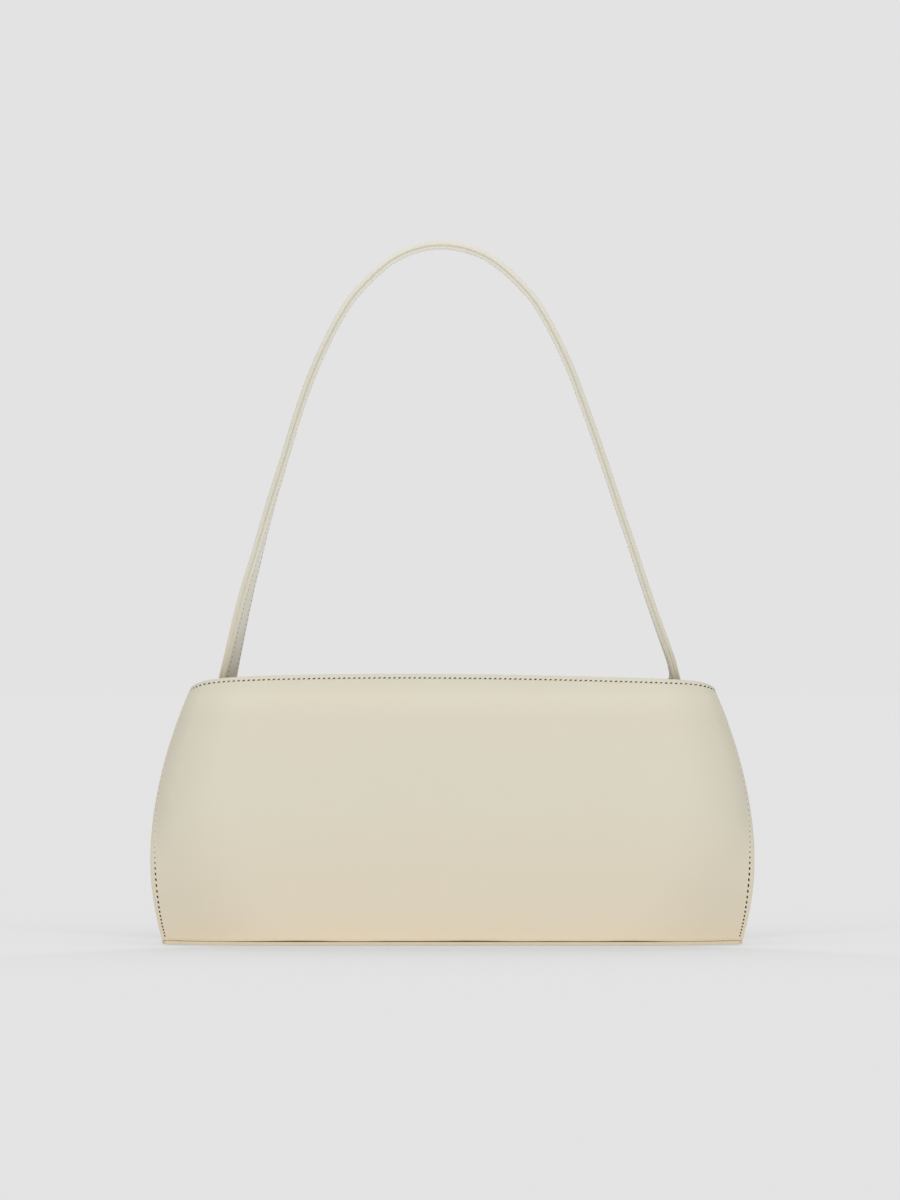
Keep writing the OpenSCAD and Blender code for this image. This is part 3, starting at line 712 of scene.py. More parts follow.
def gusset_row(t, inside):
    """The right gusset's section: a flange along each panel and a fold that dips between them."""
    tip = back_along(half_section(t)[-1], 0, PANEL_WALL + FLANGE_GAP + (0 if inside else GUSSET_WALL))
    corner = gusset_fold(t)
    if inside:
        corner = (corner[0] - GUSSET_WALL, corner[1] - GUSSET_WALL)
    cross = []
    for n in range(1, 16):
        s = -1 + 2 * n / 16
        cross.append((corner[0] - DIP * t * (1 - s * s), -corner[1] * s))
    half = [tip, tuple(np.array(tip) * 0.5 + np.array(corner) * 0.5)]
    half += bend_corner(half[-1], corner, cross[0], FOLD_ROUNDS[inside])
    return half + cross + [(x, -y) for x, y in reversed(half)]


class GussetsOperator(bpy.types.Operator):
    """Build the left and right gussets."""

    bl_idname = "bag.gussets"
    bl_label = "Gussets"

    def execute(self, context):
        for name, side in (("left_gusset", -1), ("right_gusset", 1)):
            outer, inner = ([[(side * x, y, height_at(side, t)) for x, y in gusset_row(t, inside)]
                             for t in ROW_SHARES] for inside in (False, True))
            obj = shell(name + "_leather", outer, inner, OUTSIDE, 0.3)
            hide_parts(name)
            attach(obj, "body")
        return {"FINISHED"}


PLATE_ROUND, PLATE_SHARES = 0.1, (0.15, 0.4, 0.7)
BASE_CORNER, CREASE_CORNER, CREASE_ENDS, CREASE_SIDES = 4.0, 3.0, 5.8, 0.8
PLATE_CORNER_STEPS, PLATE_SIDE_STEPS, PLATE_EDGE_STEPS = 8, 40, 6


def plate(name, half_x, half_y, corner, low, wall, materials):
    """A flat plate with rounded edges, its ends lifted a little. Face kinds: 0 flat, 1 edge."""
    outline = np.array(rounded(half_x, half_y, corner, PLATE_CORNER_STEPS, PLATE_SIDE_STEPS))
    flats = [outline * share for share in PLATE_SHARES]
    rings = [(flat, 0.0) for flat in flats]
    for n in range(PLATE_EDGE_STEPS + 1):
        turn = pi * n / PLATE_EDGE_STEPS
        inset = PLATE_ROUND * (1 - sin(turn) ** 0.4)
        rings.append((outline * [1 - inset / half_x, 1 - inset / half_y], wall / 2 * (1 - cos(turn))))
    rings += [(flat, wall) for flat in reversed(flats)]
    rings = [[(x, y, low + up + CORNER_LIFT * (abs(x) / half_x) ** 8) for x, y in ring] for ring, up in rings]
    edge = range(len(flats), len(flats) + PLATE_EDGE_STEPS)
    return sweep(name, rings, materials, lambda ring, side: int(ring in edge))


class BaseOperator(bpy.types.Operator):
    """Build the base leather and, over it, a dark plate in the seam that is a painted shadow for the crease.
    """

    bl_idname = "bag.base"
    bl_label = "Base"

    def execute(self, context):
        half_x, half_y = BASE_WIDTH / 2, BASE_DEPTH / 2
        obj = plate("base_leather", half_x, half_y, BASE_CORNER, 0.0, BASE_WALL,
                    ("Bone leather", "Base edge"))
        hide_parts("base_panel")
        # A dark plate in the gap between the panels and the base: a painted shadow for the crease.
        seam = plate("base_seam_shadow", half_x - CREASE_ENDS, half_y - CREASE_SIDES, CREASE_CORNER,
                     BASE_WALL - 0.1, 1.0, ("Seam shadow",) * 2)
        for piece in (seam, obj):
            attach(piece, "body")
        return {"FINISHED"}


# The inside
LINING_FLOOR, LINING_SLACK, FACING_SEAT, END_POWER = 4.4, 0.4, 0.05, 40
FRONT_SHARES = [sin(pi / 2 * n / 24) * 0.985 for n in range(-24, 25)]
SIDE_SHARES = (-0.9, -0.78, -0.62, -0.42, -0.2, 0, 0.2, 0.42, 0.62, 0.78, 0.9)
FLOOR_SHARES, TURN_SHARES = (0.02, 0.2, 0.45, 0.7, 0.88, 0.96), (0.975, 0.988, 0.996)
FACING_SHARES = (0, 0.02, 0.06, 0.15, 0.3, 0.45, 0.6, 0.75, 0.86, 0.93, 0.97, 1.0)
END_EYE, CAP_SHARE, CAP_WALL, CAP_DROP, CAP_LAP, CAP_SEAT = 112.0, 0.99, 1.1, 0.4, 0.25, 0.1
CAP_SHARES, CAP_SAGS = (0.0, 0.5, 1.0), (0.0, 0.45, 0.0)


def inner_depth(x, t, inwards):
    """How far back from the middle a panel's face lies at one place, less a distance inwards."""
    bow, _, lead = angles(t)
    start = roll_start(t)
    bowed = tan(bow) * x * x / (2 * start)
    return half_depth(t) - bowed - eased(min(abs(x) / start, 1), start, lead)[0] - inwards


def lining_width(t, inwards):
    return gusset_fold(t)[0] - GUSSET_WALL - DIP * t - LINING_SLACK - inwards


def corner_power(t):
    """How square the lining's corners are at one height."""
    return mix(9, 2.2, smooth(1.6 * t))


def lining_depth(t, share, inwards):
    round_off = (1 - min(abs(share), 1.0) ** END_POWER) ** (1 / corner_power(t))
    x = lining_width(t, inwards) * share
    return inner_depth(x, t, PANEL_WALL + SOFT_GAP + inwards) * round_off


def lining_loop(t, inwards):
    """A loop round the inside: front from left to right, then up the right end and back."""
    wide = lining_width(t, inwards)
    front = [(wide * s, -lining_depth(t, s, inwards), s) for s in FRONT_SHARES]
    reach = lining_depth(t, FRONT_SHARES[-1], inwards)
    deep = inner_depth(wide, t, PANEL_WALL + SOFT_GAP + inwards)
    power = corner_power(t)
    side = [(wide * (1 - abs(s * reach / deep) ** power) ** (1 / END_POWER), s * reach, 1.0)
            for s in SIDE_SHARES]
    half = front + side
    return half + [(-x, -y, -s) for x, y, s in half]


def loop_grid(inwards, height, rows, fold=0.0):
    """Rows of loops; height(share along, row share) is a point's height, and fold its soft folds' depth."""
    grid = []
    for v in rows:
        t = body_share(height(0, v), 0)
        row = []
        for x, y, s in lining_loop(t, inwards):
            z = height(s, v)
            if fold:
                wave = 0.5 + 0.5 * sin(x / 9 + z / 23 + 2 * sin(z / 31))
                soft = fold * wave * sin(pi * v)
                x -= copysign(soft, x) * abs(s) ** 30
                y -= copysign(soft, y) * (1 - abs(s) ** 30)
            row.append((x, y, z))
        grid.append(row)
    return grid


def lining_height(s, v):
    return mix(LINING_FLOOR, rim(s) - FACING_HEIGHT - SOFT_GAP, v)


def facing_height(s, v):
    return mix(rim(s) - FACING_HEIGHT, rim(s), v)


def lining_grid(inwards):
    """The lining from the middle of its floor, round the turn and up to the facing."""
    rows = [0.03 * n for n in range(4)] + [0.12 + 0.88 * n / 22 for n in range(1, 23)]
    wall = loop_grid(inwards, lining_height, rows, 0.7)
    foot, floor = np.array(wall[0]), LINING_FLOOR + inwards
    rings = [(share, floor) for share in FLOOR_SHARES]
    rings += [(share, floor + 0.35 * n * n / 4) for n, share in enumerate(TURN_SHARES, 1)]
    low = [[tuple(p) for p in foot * [share, share, 0] + [0, 0, up]] for share, up in rings]
    lifts = [(1.6 + inwards * 0.2) * max(0.0, 1 - j / 3) for j in range(len(wall))]
    return low + [[(x, y, z + lift) for x, y, z in row] for row, lift in zip(wall, lifts)]


def polar(points):
    """Angles and distances of points about a place inside the right end."""
    return ([atan2(y, x - END_EYE) for x, y in points], [hypot(x - END_EYE, y) for x, y in points])


def end_contour(t):
    """The inner faces of the panels and the gusset round the right end, by angle."""
    panel = [(x, y) for x, y, _ in section(t, PANEL_WALL) if x > END_EYE - 20]
    panel_turns, panel_reach = polar(panel)
    turns, reach = polar([p for p in gusset_row(t, True)[2:] if p[1] <= 0])
    fold = int(np.argmin(turns))
    lead = list(np.linspace(radians(-80), turns[fold] - 0.003, 24))
    near = lead + turns[fold:]
    far = [float(np.interp(turn, panel_turns, panel_reach)) for turn in lead] + reach[fold:]
    return near + [-turn for turn in near[::-1]], far + far[::-1]


def end_caps():
    """Leather that closes the top of each end, between the facing and the panels."""
    turns, reach = end_contour(CAP_SHARE)
    loop = polar([(x, y) for x, y, _ in lining_loop(CAP_SHARE, FACING_SEAT) if x > END_EYE - 8])
    loop_turns, loop_reach = zip(*sorted(zip(*loop)))
    caps = []
    for side in (-1, 1):
        grids = []
        for low in (0.0, CAP_WALL):
            rows = [[], [], []]
            for turn, far in zip(turns, reach):
                near = float(np.interp(turn, loop_turns, loop_reach)) - CAP_SEAT
                for row, share, sag in zip(rows, CAP_SHARES, CAP_SAGS):
                    r = mix(near, max(near + CAP_SEAT, far + CAP_LAP), share)
                    spot = END_EYE + r * cos(turn)
                    z = height_at(min(spot / HALF_MOUTH, 1.0), CAP_SHARE) - CAP_DROP - sag - low
                    row.append((side * spot, r * sin(turn), z))
            grids.append(rows)
        caps.append(grids)
    return caps


class LiningOperator(bpy.types.Operator):
    """Build the lining, the facing band inside the mouth and the caps of its ends."""

    bl_idname = "bag.lining"
    bl_label = "Lining and facing"

    def execute(self, context):
        outer, inner = (lining_grid(inwards) for inwards in (0.0, LINING_WALL))
        obj = shell("lining_twill", outer, inner, ("Lining twill",) * 3, 0.3, loop=True)
        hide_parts("front_lining", "back_lining", "left_gusset_lining", "right_gusset_lining",
                    "base_lining")
        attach(obj, "body")
        outer, inner = (loop_grid(inwards, facing_height, FACING_SHARES)
                        for inwards in (FACING_SEAT, FACING_WALL))
        band = shell("facing_leather", outer, inner, INSIDE_OUT, 0.4, loop=True)
        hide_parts("front_facing", "back_facing")
        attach(band, "body")
        for side, (top, foot) in zip(("left", "right"), end_caps()):
            cap = shell(side + "_end_cap", top, foot, OUTSIDE, 0.2)
            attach(cap, "body")
        return {"FINISHED"}


POCKET_TOP, POCKET_SEAT, POCKET_GAPE = 109.0, 3.2, 1.3
POCKET_WALL, POCKET_HEM_WALL, POCKET_HEM, POCKET_ROW = 1.0, 0.7, 9.0, 2.0


def pocket_face(x, z, inwards):
    """Depth of the pocket, which gapes a little at its top."""
    t = body_share(z, x / HALF_MOUTH)
    lift = POCKET_GAPE * ease(z, POCKET_TOP - 40, 40) * max(0.0, 1 - (x / (mm("pocket_width") / 2)) ** 2)
    return inner_depth(x, t, POCKET_SEAT + inwards) - lift


class PocketOperator(bpy.types.Operator):
    """Build the slip pocket with its hem and its stitching."""

    bl_idname = "bag.pocket"
    bl_label = "Slip pocket"

    def execute(self, context):
        half, low, top = mm("pocket_width") / 2, POCKET_TOP - mm("pocket_height"), POCKET_TOP - POCKET_HEM
        seat = POCKET_WALL + POCKET_HEM_WALL

        def grid(inwards, foot, head, steps):
            return [[(-x, pocket_face(x, z, inwards), z) for x in np.linspace(-half, half, 31)]
                    for z in np.linspace(foot, head, steps + 1)]

        reach, fold = (low, POCKET_TOP, 20), (top, POCKET_TOP + 0.2, 5)
        panel = shell("pocket_leather", grid(0.0, *reach), grid(POCKET_WALL, *reach), INSIDE_OUT, 0.35)
        hem_piece = shell("pocket_hem", grid(POCKET_WALL, *fold), grid(seat, *fold), INSIDE_OUT, 0.45)
        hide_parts("slip_pocket")
        for obj in (panel, hem_piece):
            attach(obj, "body")

        def row(inwards, *corners):
            points = [corners[0]]
            for (x, z), (next_x, next_z) in zip(corners, corners[1:]):
                steps = 20 if x == next_x else 30
                shares = [n / steps for n in range(1, steps + 1)]
                points += [(mix(x, next_x, s), mix(z, next_z, s)) for s in shares]
            return [((x, pocket_face(x, z, inwards), z), (0, -1, 0)) for x, z in points]

        side, foot, hem_row = half - POCKET_ROW, low + POCKET_ROW, top + 1.6
        rows = [row(POCKET_WALL, (-side, top), (-side, foot), (side, foot), (side, top)),
                row(seat, (-side, hem_row), (side, hem_row))]
        done = stitches("pocket_stitches", rows, THREADS, mm("pocket_pitch"))
        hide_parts("pocket_stitching")
        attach(done, "body")
        return {"FINISHED"}


# The closure. The tab's foot is given from its axis, the rest in shares of the way to the magnet
TAB_RISE, MAGNET_RISE, MAGNET_EDGE = 6.0, 4.5, 2.0
TAB_CORNER, TAB_ROUND, TAB_ROW, SEAT = 5.0, 0.8, 2.2, 0.1
TAB_FOOT = (-12.2, -9.5, -6.5, -3.5)
TAB_OVER_SHARES = ((0, 0), (0.12, 0.1), (0.35, 0.33), (0.6, 0.62), (0.82, 0.9), (0.95, 1.03))


def facing_face(z):
    """Depth of the facing's inner face in the middle."""
    return inner_depth(0, body_share(z, 0), PANEL_WALL + SOFT_GAP + FACING_WALL)


def tab_line():
    """The tab's middle line, from its sewn foot over the mouth and down behind the magnet.
    Also the slope and the place of the magnets."""
    half, magnet = mm("tab_wall") / 2, mm("magnet_wall")
    axis_z = HEIGHT - FACING_HEIGHT + TAB_RISE
    magnet_z = axis_z + mm("magnet_width") / 2 + MAGNET_RISE
    axis_y = facing_face(axis_z) - SEAT - half
    back_face = facing_face(magnet_z) - SEAT - magnet - SOFT_GAP - magnet - SEAT
    drop = inner_depth(0, body_share(axis_z, 0), 0) - inner_depth(0, body_share(HEIGHT, 0), 0)
    slope = atan(drop / (HEIGHT - axis_z))

    def front(up):
        return (up * sin(slope) - back_face + half, magnet_z + up * cos(slope))

    top = front(mm("magnet_width") / 2)
    foot = [(facing_face(axis_z + up) - SEAT - half, axis_z + up) for up in TAB_FOOT]
    over = [(mix(axis_y, top[0], a), mix(axis_z, top[1], b)) for a, b in TAB_OVER_SHARES]
    knots = foot + over + [top, front(0), front(-(mm("magnet_width") / 2 + MAGNET_EDGE))]
    return knots, slope, back_face, magnet_z


def spline(points, steps):
    """A smooth curve through points."""
    p = np.array(points, float)
    way = np.array([(p[min(i + 1, len(p) - 1)] - p[max(i - 1, 0)]) / 2 for i in range(len(p))])
    out = []
    for i in range(len(p) - 1):
        for n in range(steps):
            s = n / steps
            out.append(p[i] * (2 * s**3 - 3 * s * s + 1) + way[i] * (s**3 - 2 * s * s + s)
                       + p[i + 1] * (3 * s * s - 2 * s**3) + way[i + 1] * (s**3 - s * s))
    return np.array(out + [p[-1]])


def directions(line):
    ways = np.gradient(line, axis=0)
    return ways / np.linalg.norm(ways, axis=1)[:, None]


def magnet_disc(name, depth, height, slope):
    """One magnet, a flat steel disc with rounded rims."""
    bpy.ops.object.select_all(action="DESELECT")
    bpy.ops.mesh.primitive_cylinder_add(
        vertices=48, radius=mm("magnet_width") / 2 * MM, depth=mm("magnet_wall") * MM,
        location=(0, -depth * MM, height * MM), rotation=(pi / 2 - slope, 0, 0),
    )
    disc = bpy.context.object
    disc.name = name
    disc.data.materials.append(finish("Magnet steel"))
    bevel = disc.modifiers.new("Bevel", "BEVEL")
    bevel.width, bevel.segments, bevel.limit_method = 0.3 * MM, 3, "ANGLE"
    bpy.ops.object.transform_apply(location=True, rotation=True, scale=True)
    bpy.ops.object.shade_smooth_by_angle(angle=radians(40))
    return disc


class ClosureOperator(bpy.types.Operator):
    """Build the closure tab and its two magnets."""

    bl_idname = "bag.closure"
    bl_label = "Closure"

    def execute(self, context):
        knots, slope, back_face, magnet_z = tab_line()
        line = spline(knots, 6)
        run = run_of(line)
        half_wall = mm("tab_wall") / 2
        rings, paths = [], {(side, face): [] for side in (-1, 1) for face in (-1, 1)}
        for place, way, s in zip(line, directions(line), run):
            out = np.array([0, -way[1], way[0]])
            near = min(s, run[-1] - s)
            inset = 1 - min(near, TAB_CORNER) / TAB_CORNER
            half = mm("tab_width") / 2 - TAB_CORNER * (1 - sqrt(max(0.0, 1 - inset**2)))
            rings.append(box_ring((0, *place), (1, 0, 0), out, half, half_wall, TAB_ROUND))
            if near > TAB_ROW:
                for side, face in paths:
                    spot = np.array([side * (half - TAB_ROW), *place]) + out * face * half_wall
                    paths[(side, face)].append((tuple(spot), tuple(out * face)))
        tab = sweep("closure_tab_leather", rings, OUTSIDE[:2])
        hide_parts("tab_anchor", "closure_tab")
        sewn = stitches("closure_tab_stitches", list(paths.values()), THREADS, mm("rim_pitch"))
        for obj in (tab, sewn):
            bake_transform(obj)
        face, wall = back_face + SEAT, mm("magnet_wall")
        for name, depth, body, node in (
            ("tab_magnet_disc", face + wall / 2, "tab", "tab_magnet"),
            ("facing_magnet_disc", face + wall * 1.5 + SOFT_GAP, "body", "facing_magnet"),
        ):
            disc = magnet_disc(name, depth, magnet_z, slope)
            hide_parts(node)
            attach(disc, body)
        return {"FINISHED"}


# The strap: its arch in shares of half its span and of its rise, from the left end to the right end
ARCH_SHARES = (
    (-0.989, 0), (-0.930, 0.145), (-0.872, 0.261), (-0.814, 0.376), (-0.749, 0.491), (-0.683, 0.607),
    (-0.602, 0.722), (-0.492, 0.838), (-0.400, 0.903), (-0.280, 0.961), (-0.167, 0.990), (-0.050, 1),
    (0.070, 0.990), (0.186, 0.961), (0.309, 0.903), (0.402, 0.838), (0.512, 0.722), (0.594, 0.607),
    (0.670, 0.491), (0.741, 0.376), (0.813, 0.261), (0.883, 0.145), (0.979, 0),
)
AXIS_Y, AXIS_Z, SPAN, RISE = 7.0, 160.0, 253.5, 235.5
END_FLAT, END_LOW, STRAP_FREE = HEIGHT - 17, HEIGHT - FACING_HEIGHT + 2, 153.2
LEG_STEEP, STRAP_WALL = 10.0, 4.6
# Height and turn in degrees of each leg, above where it lies flat at 90
LEFT_TURNS = ((140, 72), (146, 44), (151, 29), (160, 25.5), (194, 19), (221, 9), (248, 4), (275, 0))
RIGHT_TURNS = ((140, 66), (145, 28), (149, 9), (153, 3), (160, 2), (175, 1.5), (190, 0))
STRAP_ROW = 1.9
# A layer's name, offset, half thickness, inset, radius, materials and CAD nodes
STRAP_LAYERS = (
    ("strap_outer_leather", 0.98, 1.32, 0.0, 0.9, ("Strap leather",), ("strap_outer", "left_strap_end")),
    ("strap_tape", -0.56, 0.4, 0.15, 0.1, ("Tape",), ("strap_core",)),
    ("strap_inner_leather", -1.56, 0.74, 0.0, 0.5, ("Strap inner leather", "Strap inner edge"),
     ("strap_inner", "right_strap_end")),
)
STRAP_SEWING = {"slant": 0.5, "width": 0.5, "hole": 0.28, "trim": 2.5, "proud": -0.42, "top": 0.04}


def end_x(foot, z):
    steep = min(AXIS_Z - z, LEG_STEEP)
    return foot + copysign(steep * 0.22 + (AXIS_Z - z - steep) * 0.03, foot)


def end_depth(foot, z):
    """Depth of the strap's middle where it lies on the facing."""
    x = abs(end_x(foot, z)) + mm("strap_width") / 2
    t = body_share(z, x / HALF_MOUTH)
    return lining_depth(t, x / lining_width(t, FACING_WALL), FACING_WALL) - SOFT_GAP - STRAP_WALL / 2


def turn_at(z, left):
    """How far the strap has turned about its length, in degrees, from lying flat on the facing."""
    heights, turned = zip((END_FLAT, 90), *(LEFT_TURNS if left else RIGHT_TURNS))
    return float(np.interp(z, heights, turned))


def strap_leg(foot):
    """A leg's middle line from its low end up to the arch."""
    points = []
    for n in range(28):
        z = mix(END_LOW, AXIS_Z - 0.6, n / 27)
        y = mix(end_depth(foot, min(z, END_FLAT)), AXIS_Y, ease(z, END_FLAT, STRAP_FREE - END_FLAT))
        points.append((end_x(foot, z), y, z))
    return points


def cut_edge(ring, side):
    """Of the 16 faces round a ring, five at each side of the strap are its cut edge."""
    return int((side + 3) % 8 < 5)


def strap_stations():
    """The strap's middle line with its width and thickness directions, from left end to right end."""
    arch = spline([(x * SPAN / 2, AXIS_Z + z * RISE) for x, z in ARCH_SHARES], 10)
    line = np.array(strap_leg(arch[0][0]) + [(x, AXIS_Y, z) for x, z in arch] + strap_leg(arch[-1][0])[::-1])
    for _ in range(3):
        line[1:-1] = (line[:-2] + 2 * line[1:-1] + line[2:]) / 4
    peak = int(np.argmax(line[:, 2]))
    stations = []
    for n, (place, way) in enumerate(zip(line, directions(line))):
        out = unit(np.array([-way[2], 0.0, way[0]]))
        across = np.cross(out, way)
        across = across if across[1] > 0 else -across
        turn = radians(turn_at(place[2], n < peak))
        width = across * cos(turn) - out * sin(turn)
        thick = out * cos(turn) + across * sin(turn)
        stations.append((place, width, thick))
    return stations


class StrapOperator(bpy.types.Operator):
    """Build the strap: two leathers, the tape between them and their stitching."""

    bl_idname = "bag.strap"
    bl_label = "Strap"

    def execute(self, context):
        stations = strap_stations()
        half, half_wall = mm("strap_width") / 2, STRAP_WALL / 2
        for name, offset, half_t, inset, radius, materials, nodes in STRAP_LAYERS:
            rings = [box_ring(place + thick * offset, width, thick, half - inset, half_t, radius)
                     for place, width, thick in stations]
            obj = sweep(name, rings, materials, cut_edge if len(materials) > 1 else whole)
            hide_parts(*nodes)
            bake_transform(obj)
        reach = half - STRAP_ROW
        paths = [[(place + width * side * reach + thick * face * half_wall, thick * face)
                  for place, width, thick in stations] for side in (-1, 1) for face in (-1, 1)]
        sewn = stitches("strap_stitches", paths, ("Thread", "Strap needle hole"), mm("strap_pitch"),
                        **STRAP_SEWING)
        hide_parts("strap_stitching", "strap_end_stitching")
        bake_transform(sewn)
        return {"FINISHED"}


# Stitching of the body
RIM_ROW, RIM_SEWING = 2.4, {"trim": 1.0}
SEAM_ROW_LOW, SEAM_ROW_HIGH, SEAM_STEPS = 2.2, 2.9, 47
SEAM_SEWING = {"slant": 0.1, "width": 0.5, "close": 0.5, "tilt": 0.1, "top": 0.16}


def rim_path(side):
    """The row along a panel's mouth, with its outward normals."""
    path = []
    for i, column in enumerate(COLUMNS):
        z = rim(column) - RIM_ROW
        x, y, a = section(body_share(z, column), -sway(column * HALF_MOUTH, z))[i]
        path.append(((x, y * side, z), (sin(a), -cos(a) * side, 0.0)))
    return path


def facing_path(side):
    """The same row seen on the facing, at the front or the back."""
    path = []
    for n, s in enumerate(FRONT_SHARES):
        z = rim(s) - RIM_ROW
        x, y, _ = lining_loop(body_share(z, s), FACING_WALL)[n]
        path.append(((x * side, y * side, z), (0, side, 0)))
    return path


def seam_path(side, face):
    """The row down a side seam, on the front or the back panel."""
    path = []
    for n in range(SEAM_STEPS + 1):
        t = 0.008 + 0.967 * n / SEAM_STEPS
        seam = half_section(t)[-1]
        x, y = back_along(seam, mix(SEAM_ROW_LOW, SEAM_ROW_HIGH, smooth(t / 0.25)), 0)
        normal = (side * sin(seam[2]), -face * cos(seam[2]), 0)
        path.append(((side * x, face * y, height_at(side, t)), normal))
    return path


class StitchingOperator(bpy.types.Operator):
    """Build the stitching round the mouth and down the side seams."""

    bl_idname = "bag.stitching"
    bl_label = "Stitching"

    def execute(self, context):
        rim_size, side_size = mm("rim_pitch"), mm("side_pitch")
        inside = [facing_path(side) for side in (-1, 1)]
        for name, rows, pitch, sewing in (
            ("front_rim", [rim_path(1)], rim_size, RIM_SEWING),
            ("back_rim", [rim_path(-1)], rim_size, RIM_SEWING),
            ("facing", inside, rim_size, RIM_SEWING),
            ("left_seam", [seam_path(-1, 1), seam_path(-1, -1)], side_size, SEAM_SEWING),
            ("right_seam", [seam_path(1, 1), seam_path(1, -1)], side_size, SEAM_SEWING),
        ):
            obj = stitches(name + "_stitches", rows, THREADS, pitch, **sewing)
            if rows is not inside:
                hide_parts(name + "_stitching")
            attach(obj, "body")
        return {"FINISHED"}


class FinishesOperator(bpy.types.Operator):
    """Give the CAD piece that stays its finish."""

    bl_idname = "bag.finishes"
    bl_label = "Finishes"

    def execute(self, context):
        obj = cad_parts["base_board"]
        obj.data.materials.clear()
        obj.data.materials.append(finish("Board"))
        return {"FINISHED"}


# The stage, in metres
FLOOR_SIZE, FLOOR_DROP, FLOOR_DIM = 60, 0.0002, 0.974
SHADE_REACH, SHADE_SLANT, SHADE_OUT, SHADE_IN = 0.5, -0.6, 0.143, 0.085
FRONT_WAY, BEHIND_WAY, SIDE_LIGHT = (0.0, -0.8, 0.6), (0.0, 0.98, 0.2), 0.65
VIEW_HEIGHT, VIEW_MIDDLE, VIEW_DISTANCE = 0.675, 0.194, 5.0
CAMERA_PLACE, SENSOR = (-0.00135, -5.035, 0.165), 36.0


def grey(value):
    return (value, value, value, 1)


def floor_finish(stage):
    """A matt floor that the camera sees as mostly even, with a painted shadow from ambient occlusion that
    makes it a little darker before and behind the bag.
    """
    material, tree = blank("Floor")
    tree.nodes.remove(tree.nodes["Principled BSDF"])
    matt = add(tree, "BsdfDiffuse", {"Color": grey(stage.floor_tone)})
    near = add(tree, "AmbientOcclusion", {"Distance": SHADE_REACH}, samples=16)
    split = add(tree, "SeparateXYZ", {0: object_place(tree)}).outputs
    aside, away = calc(tree, "ABSOLUTE", split["X"]), calc(tree, "ABSOLUTE", split["Y"])
    wedge = calc(tree, "MULTIPLY_ADD", away, SHADE_SLANT, aside)
    under = add(tree, "MapRange", {"From Min": SHADE_OUT, "From Max": SHADE_IN, "Value": wedge},
                interpolation_type="SMOOTHSTEP")
    least = calc(tree, "MAXIMUM", near.outputs["AO"], stage.floor_shade)
    # The emitted colour carries a painted shadow: darker where ambient occlusion finds the bag, inside the
    # wedge before and behind it.
    tone = mixed(tree, under.outputs["Result"], grey(1), least)
    pale = mixed(tree, 1.0, grey(stage.backdrop * FLOOR_DIM), tone, "MULTIPLY")
    glow = add(tree, "Emission", {"Color": pale})
    seen = add(tree, "LightPath").outputs["Is Camera Ray"]
    both = add(tree, "MixShader", {0: calc(tree, "MULTIPLY", seen, stage.floor_glow),
                                   1: matt.outputs[0], 2: glow.outputs[0]})
    feed(tree, tree.nodes["Material Output"], "Surface", both.outputs[0])
    return material


def soft_box(stage):
    """A world that lights the bag from the front and softly from behind, and shows an even backdrop."""
    world = bpy.data.worlds.new("Soft box")
    world.use_nodes = True
    tree = world.node_tree
    tree.nodes.clear()
    way = add(tree, "TexCoord").outputs["Generated"]

    def facing(direction):
        return add(tree, "VectorMath", {0: way, 1: direction}, operation="DOT_PRODUCT").outputs["Value"]

    front = calc(tree, "MULTIPLY_ADD", facing(FRONT_WAY), stage.front_light, SIDE_LIGHT)
    soft = add(tree, "MapRange", {"From Min": 0.6, "To Max": stage.back_light, "Value": facing(BEHIND_WAY)},
               interpolation_type="SMOOTHSTEP")
    total = calc(tree, "ADD", calc(tree, "MAXIMUM", front, 0.0), soft.outputs["Result"])
    lit = add(tree, "Background", {"Color": total, "Strength": stage.light})
    flat = add(tree, "Background", {"Color": grey(stage.backdrop)})
    path = add(tree, "LightPath").outputs
    seen = calc(tree, "MAXIMUM", path["Is Camera Ray"], path["Is Glossy Ray"])
    clear = calc(tree, "MAXIMUM", seen, path["Is Transmission Ray"])
    both = add(tree, "MixShader", {0: clear, 1: lit.outputs[0], 2: flat.outputs[0]})
    feed(tree, add(tree, "OutputWorld"), "Surface", both.outputs[0])
    return world


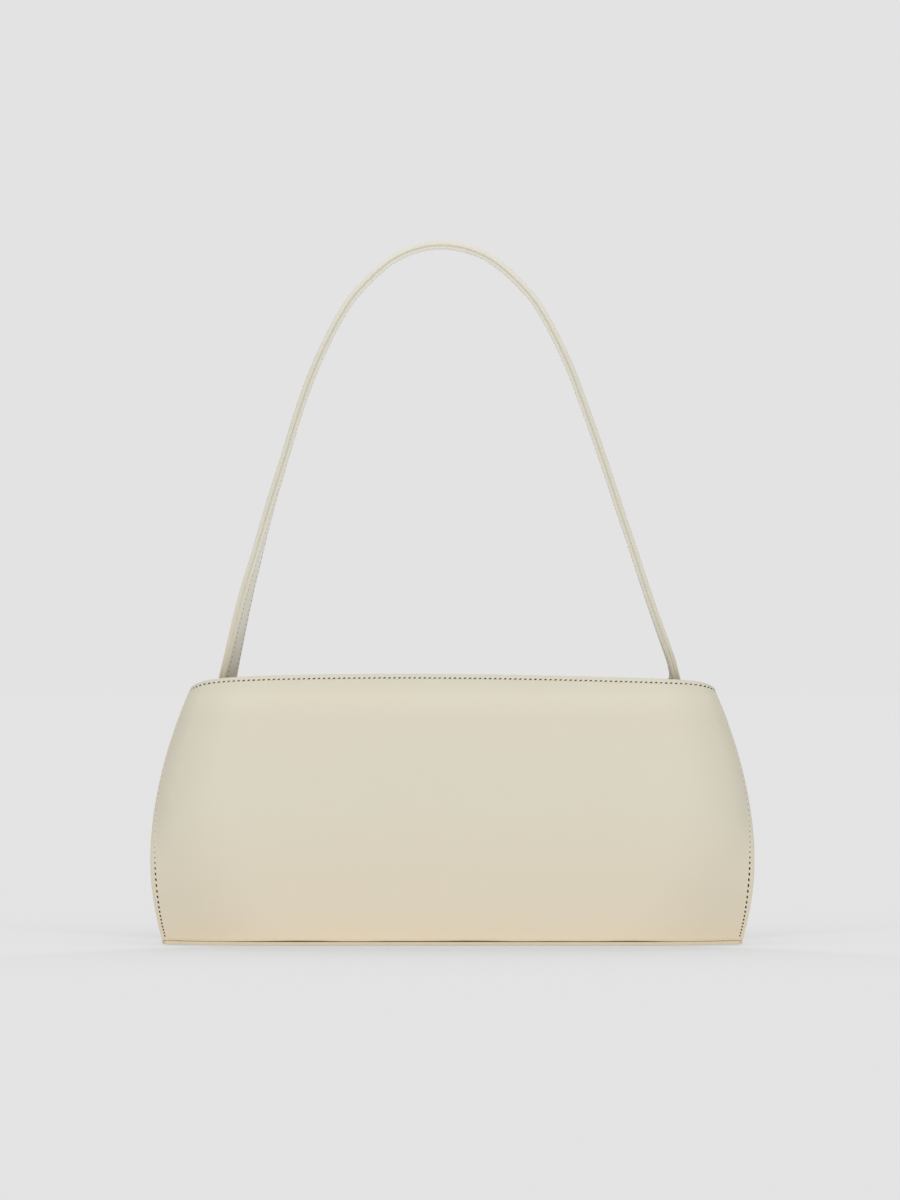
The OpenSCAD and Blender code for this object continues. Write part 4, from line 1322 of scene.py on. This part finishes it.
class StageOperator(bpy.types.Operator):
    """Set up the floor, the light and the camera."""

    bl_idname = "bag.stage"
    bl_label = "Stage"

    def execute(self, context):
        scene = context.scene
        bpy.ops.object.select_all(action="DESELECT")
        bpy.ops.mesh.primitive_plane_add(size=FLOOR_SIZE, location=(0, 0, -FLOOR_DROP))
        floor = context.object
        floor.name = "floor"
        floor.data.materials.append(floor_finish(scene.bag_stage))
        floor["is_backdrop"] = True
        scene.world = soft_box(scene.bag_stage)
        data = bpy.data.cameras.new("Camera")
        data.sensor_width, data.lens = SENSOR, SENSOR * VIEW_DISTANCE / VIEW_HEIGHT
        data.clip_start, data.clip_end = 0.1, 100
        data.shift_y = (VIEW_MIDDLE - CAMERA_PLACE[2]) / VIEW_HEIGHT
        camera = bpy.data.objects.new("Camera", data)
        camera.location = CAMERA_PLACE
        camera.rotation_euler = (pi / 2, 0, 0)
        scene.collection.objects.link(camera)
        scene.camera = camera
        scene.view_settings.view_transform = "Standard"
        return {"FINISHED"}


STEPS = (
    PanelsOperator, GussetsOperator, BaseOperator, LiningOperator, PocketOperator, ClosureOperator,
    StrapOperator, StitchingOperator, FinishesOperator, StageOperator,
)
GROUPS = {"bag_sizes": BagSizes, "bag_colours": BagColours, "bag_stage": BagStage}


class BagPanel(bpy.types.Panel):
    """The bag's settings and buttons in the sidebar."""

    bl_idname = "VIEW3D_PT_bag"
    bl_label = "Bag"
    bl_space_type = "VIEW_3D"
    bl_region_type = "UI"
    bl_category = "Bag"

    def draw(self, context):
        for where, group in GROUPS.items():
            for name in group.__annotations__:
                self.layout.prop(getattr(context.scene, where), name)
        for step in STEPS:
            self.layout.operator(step.bl_idname)


CLASSES = (*GROUPS.values(), BagPanel, *STEPS)


def register():
    for cls in CLASSES:
        bpy.utils.register_class(cls)
    for where, group in GROUPS.items():
        setattr(bpy.types.Scene, where, bpy.props.PointerProperty(type=group))


def unregister():
    for where in GROUPS:
        delattr(bpy.types.Scene, where)
    for cls in reversed(CLASSES):
        bpy.utils.unregister_class(cls)


def corners():
    low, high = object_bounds()
    return [list(low), list(high)]


def main():
    register()
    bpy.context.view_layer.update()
    for step in STEPS:
        getattr(bpy.ops.bag, step.bl_idname.split(".")[1])()


if __name__ == "__main__":
    main()
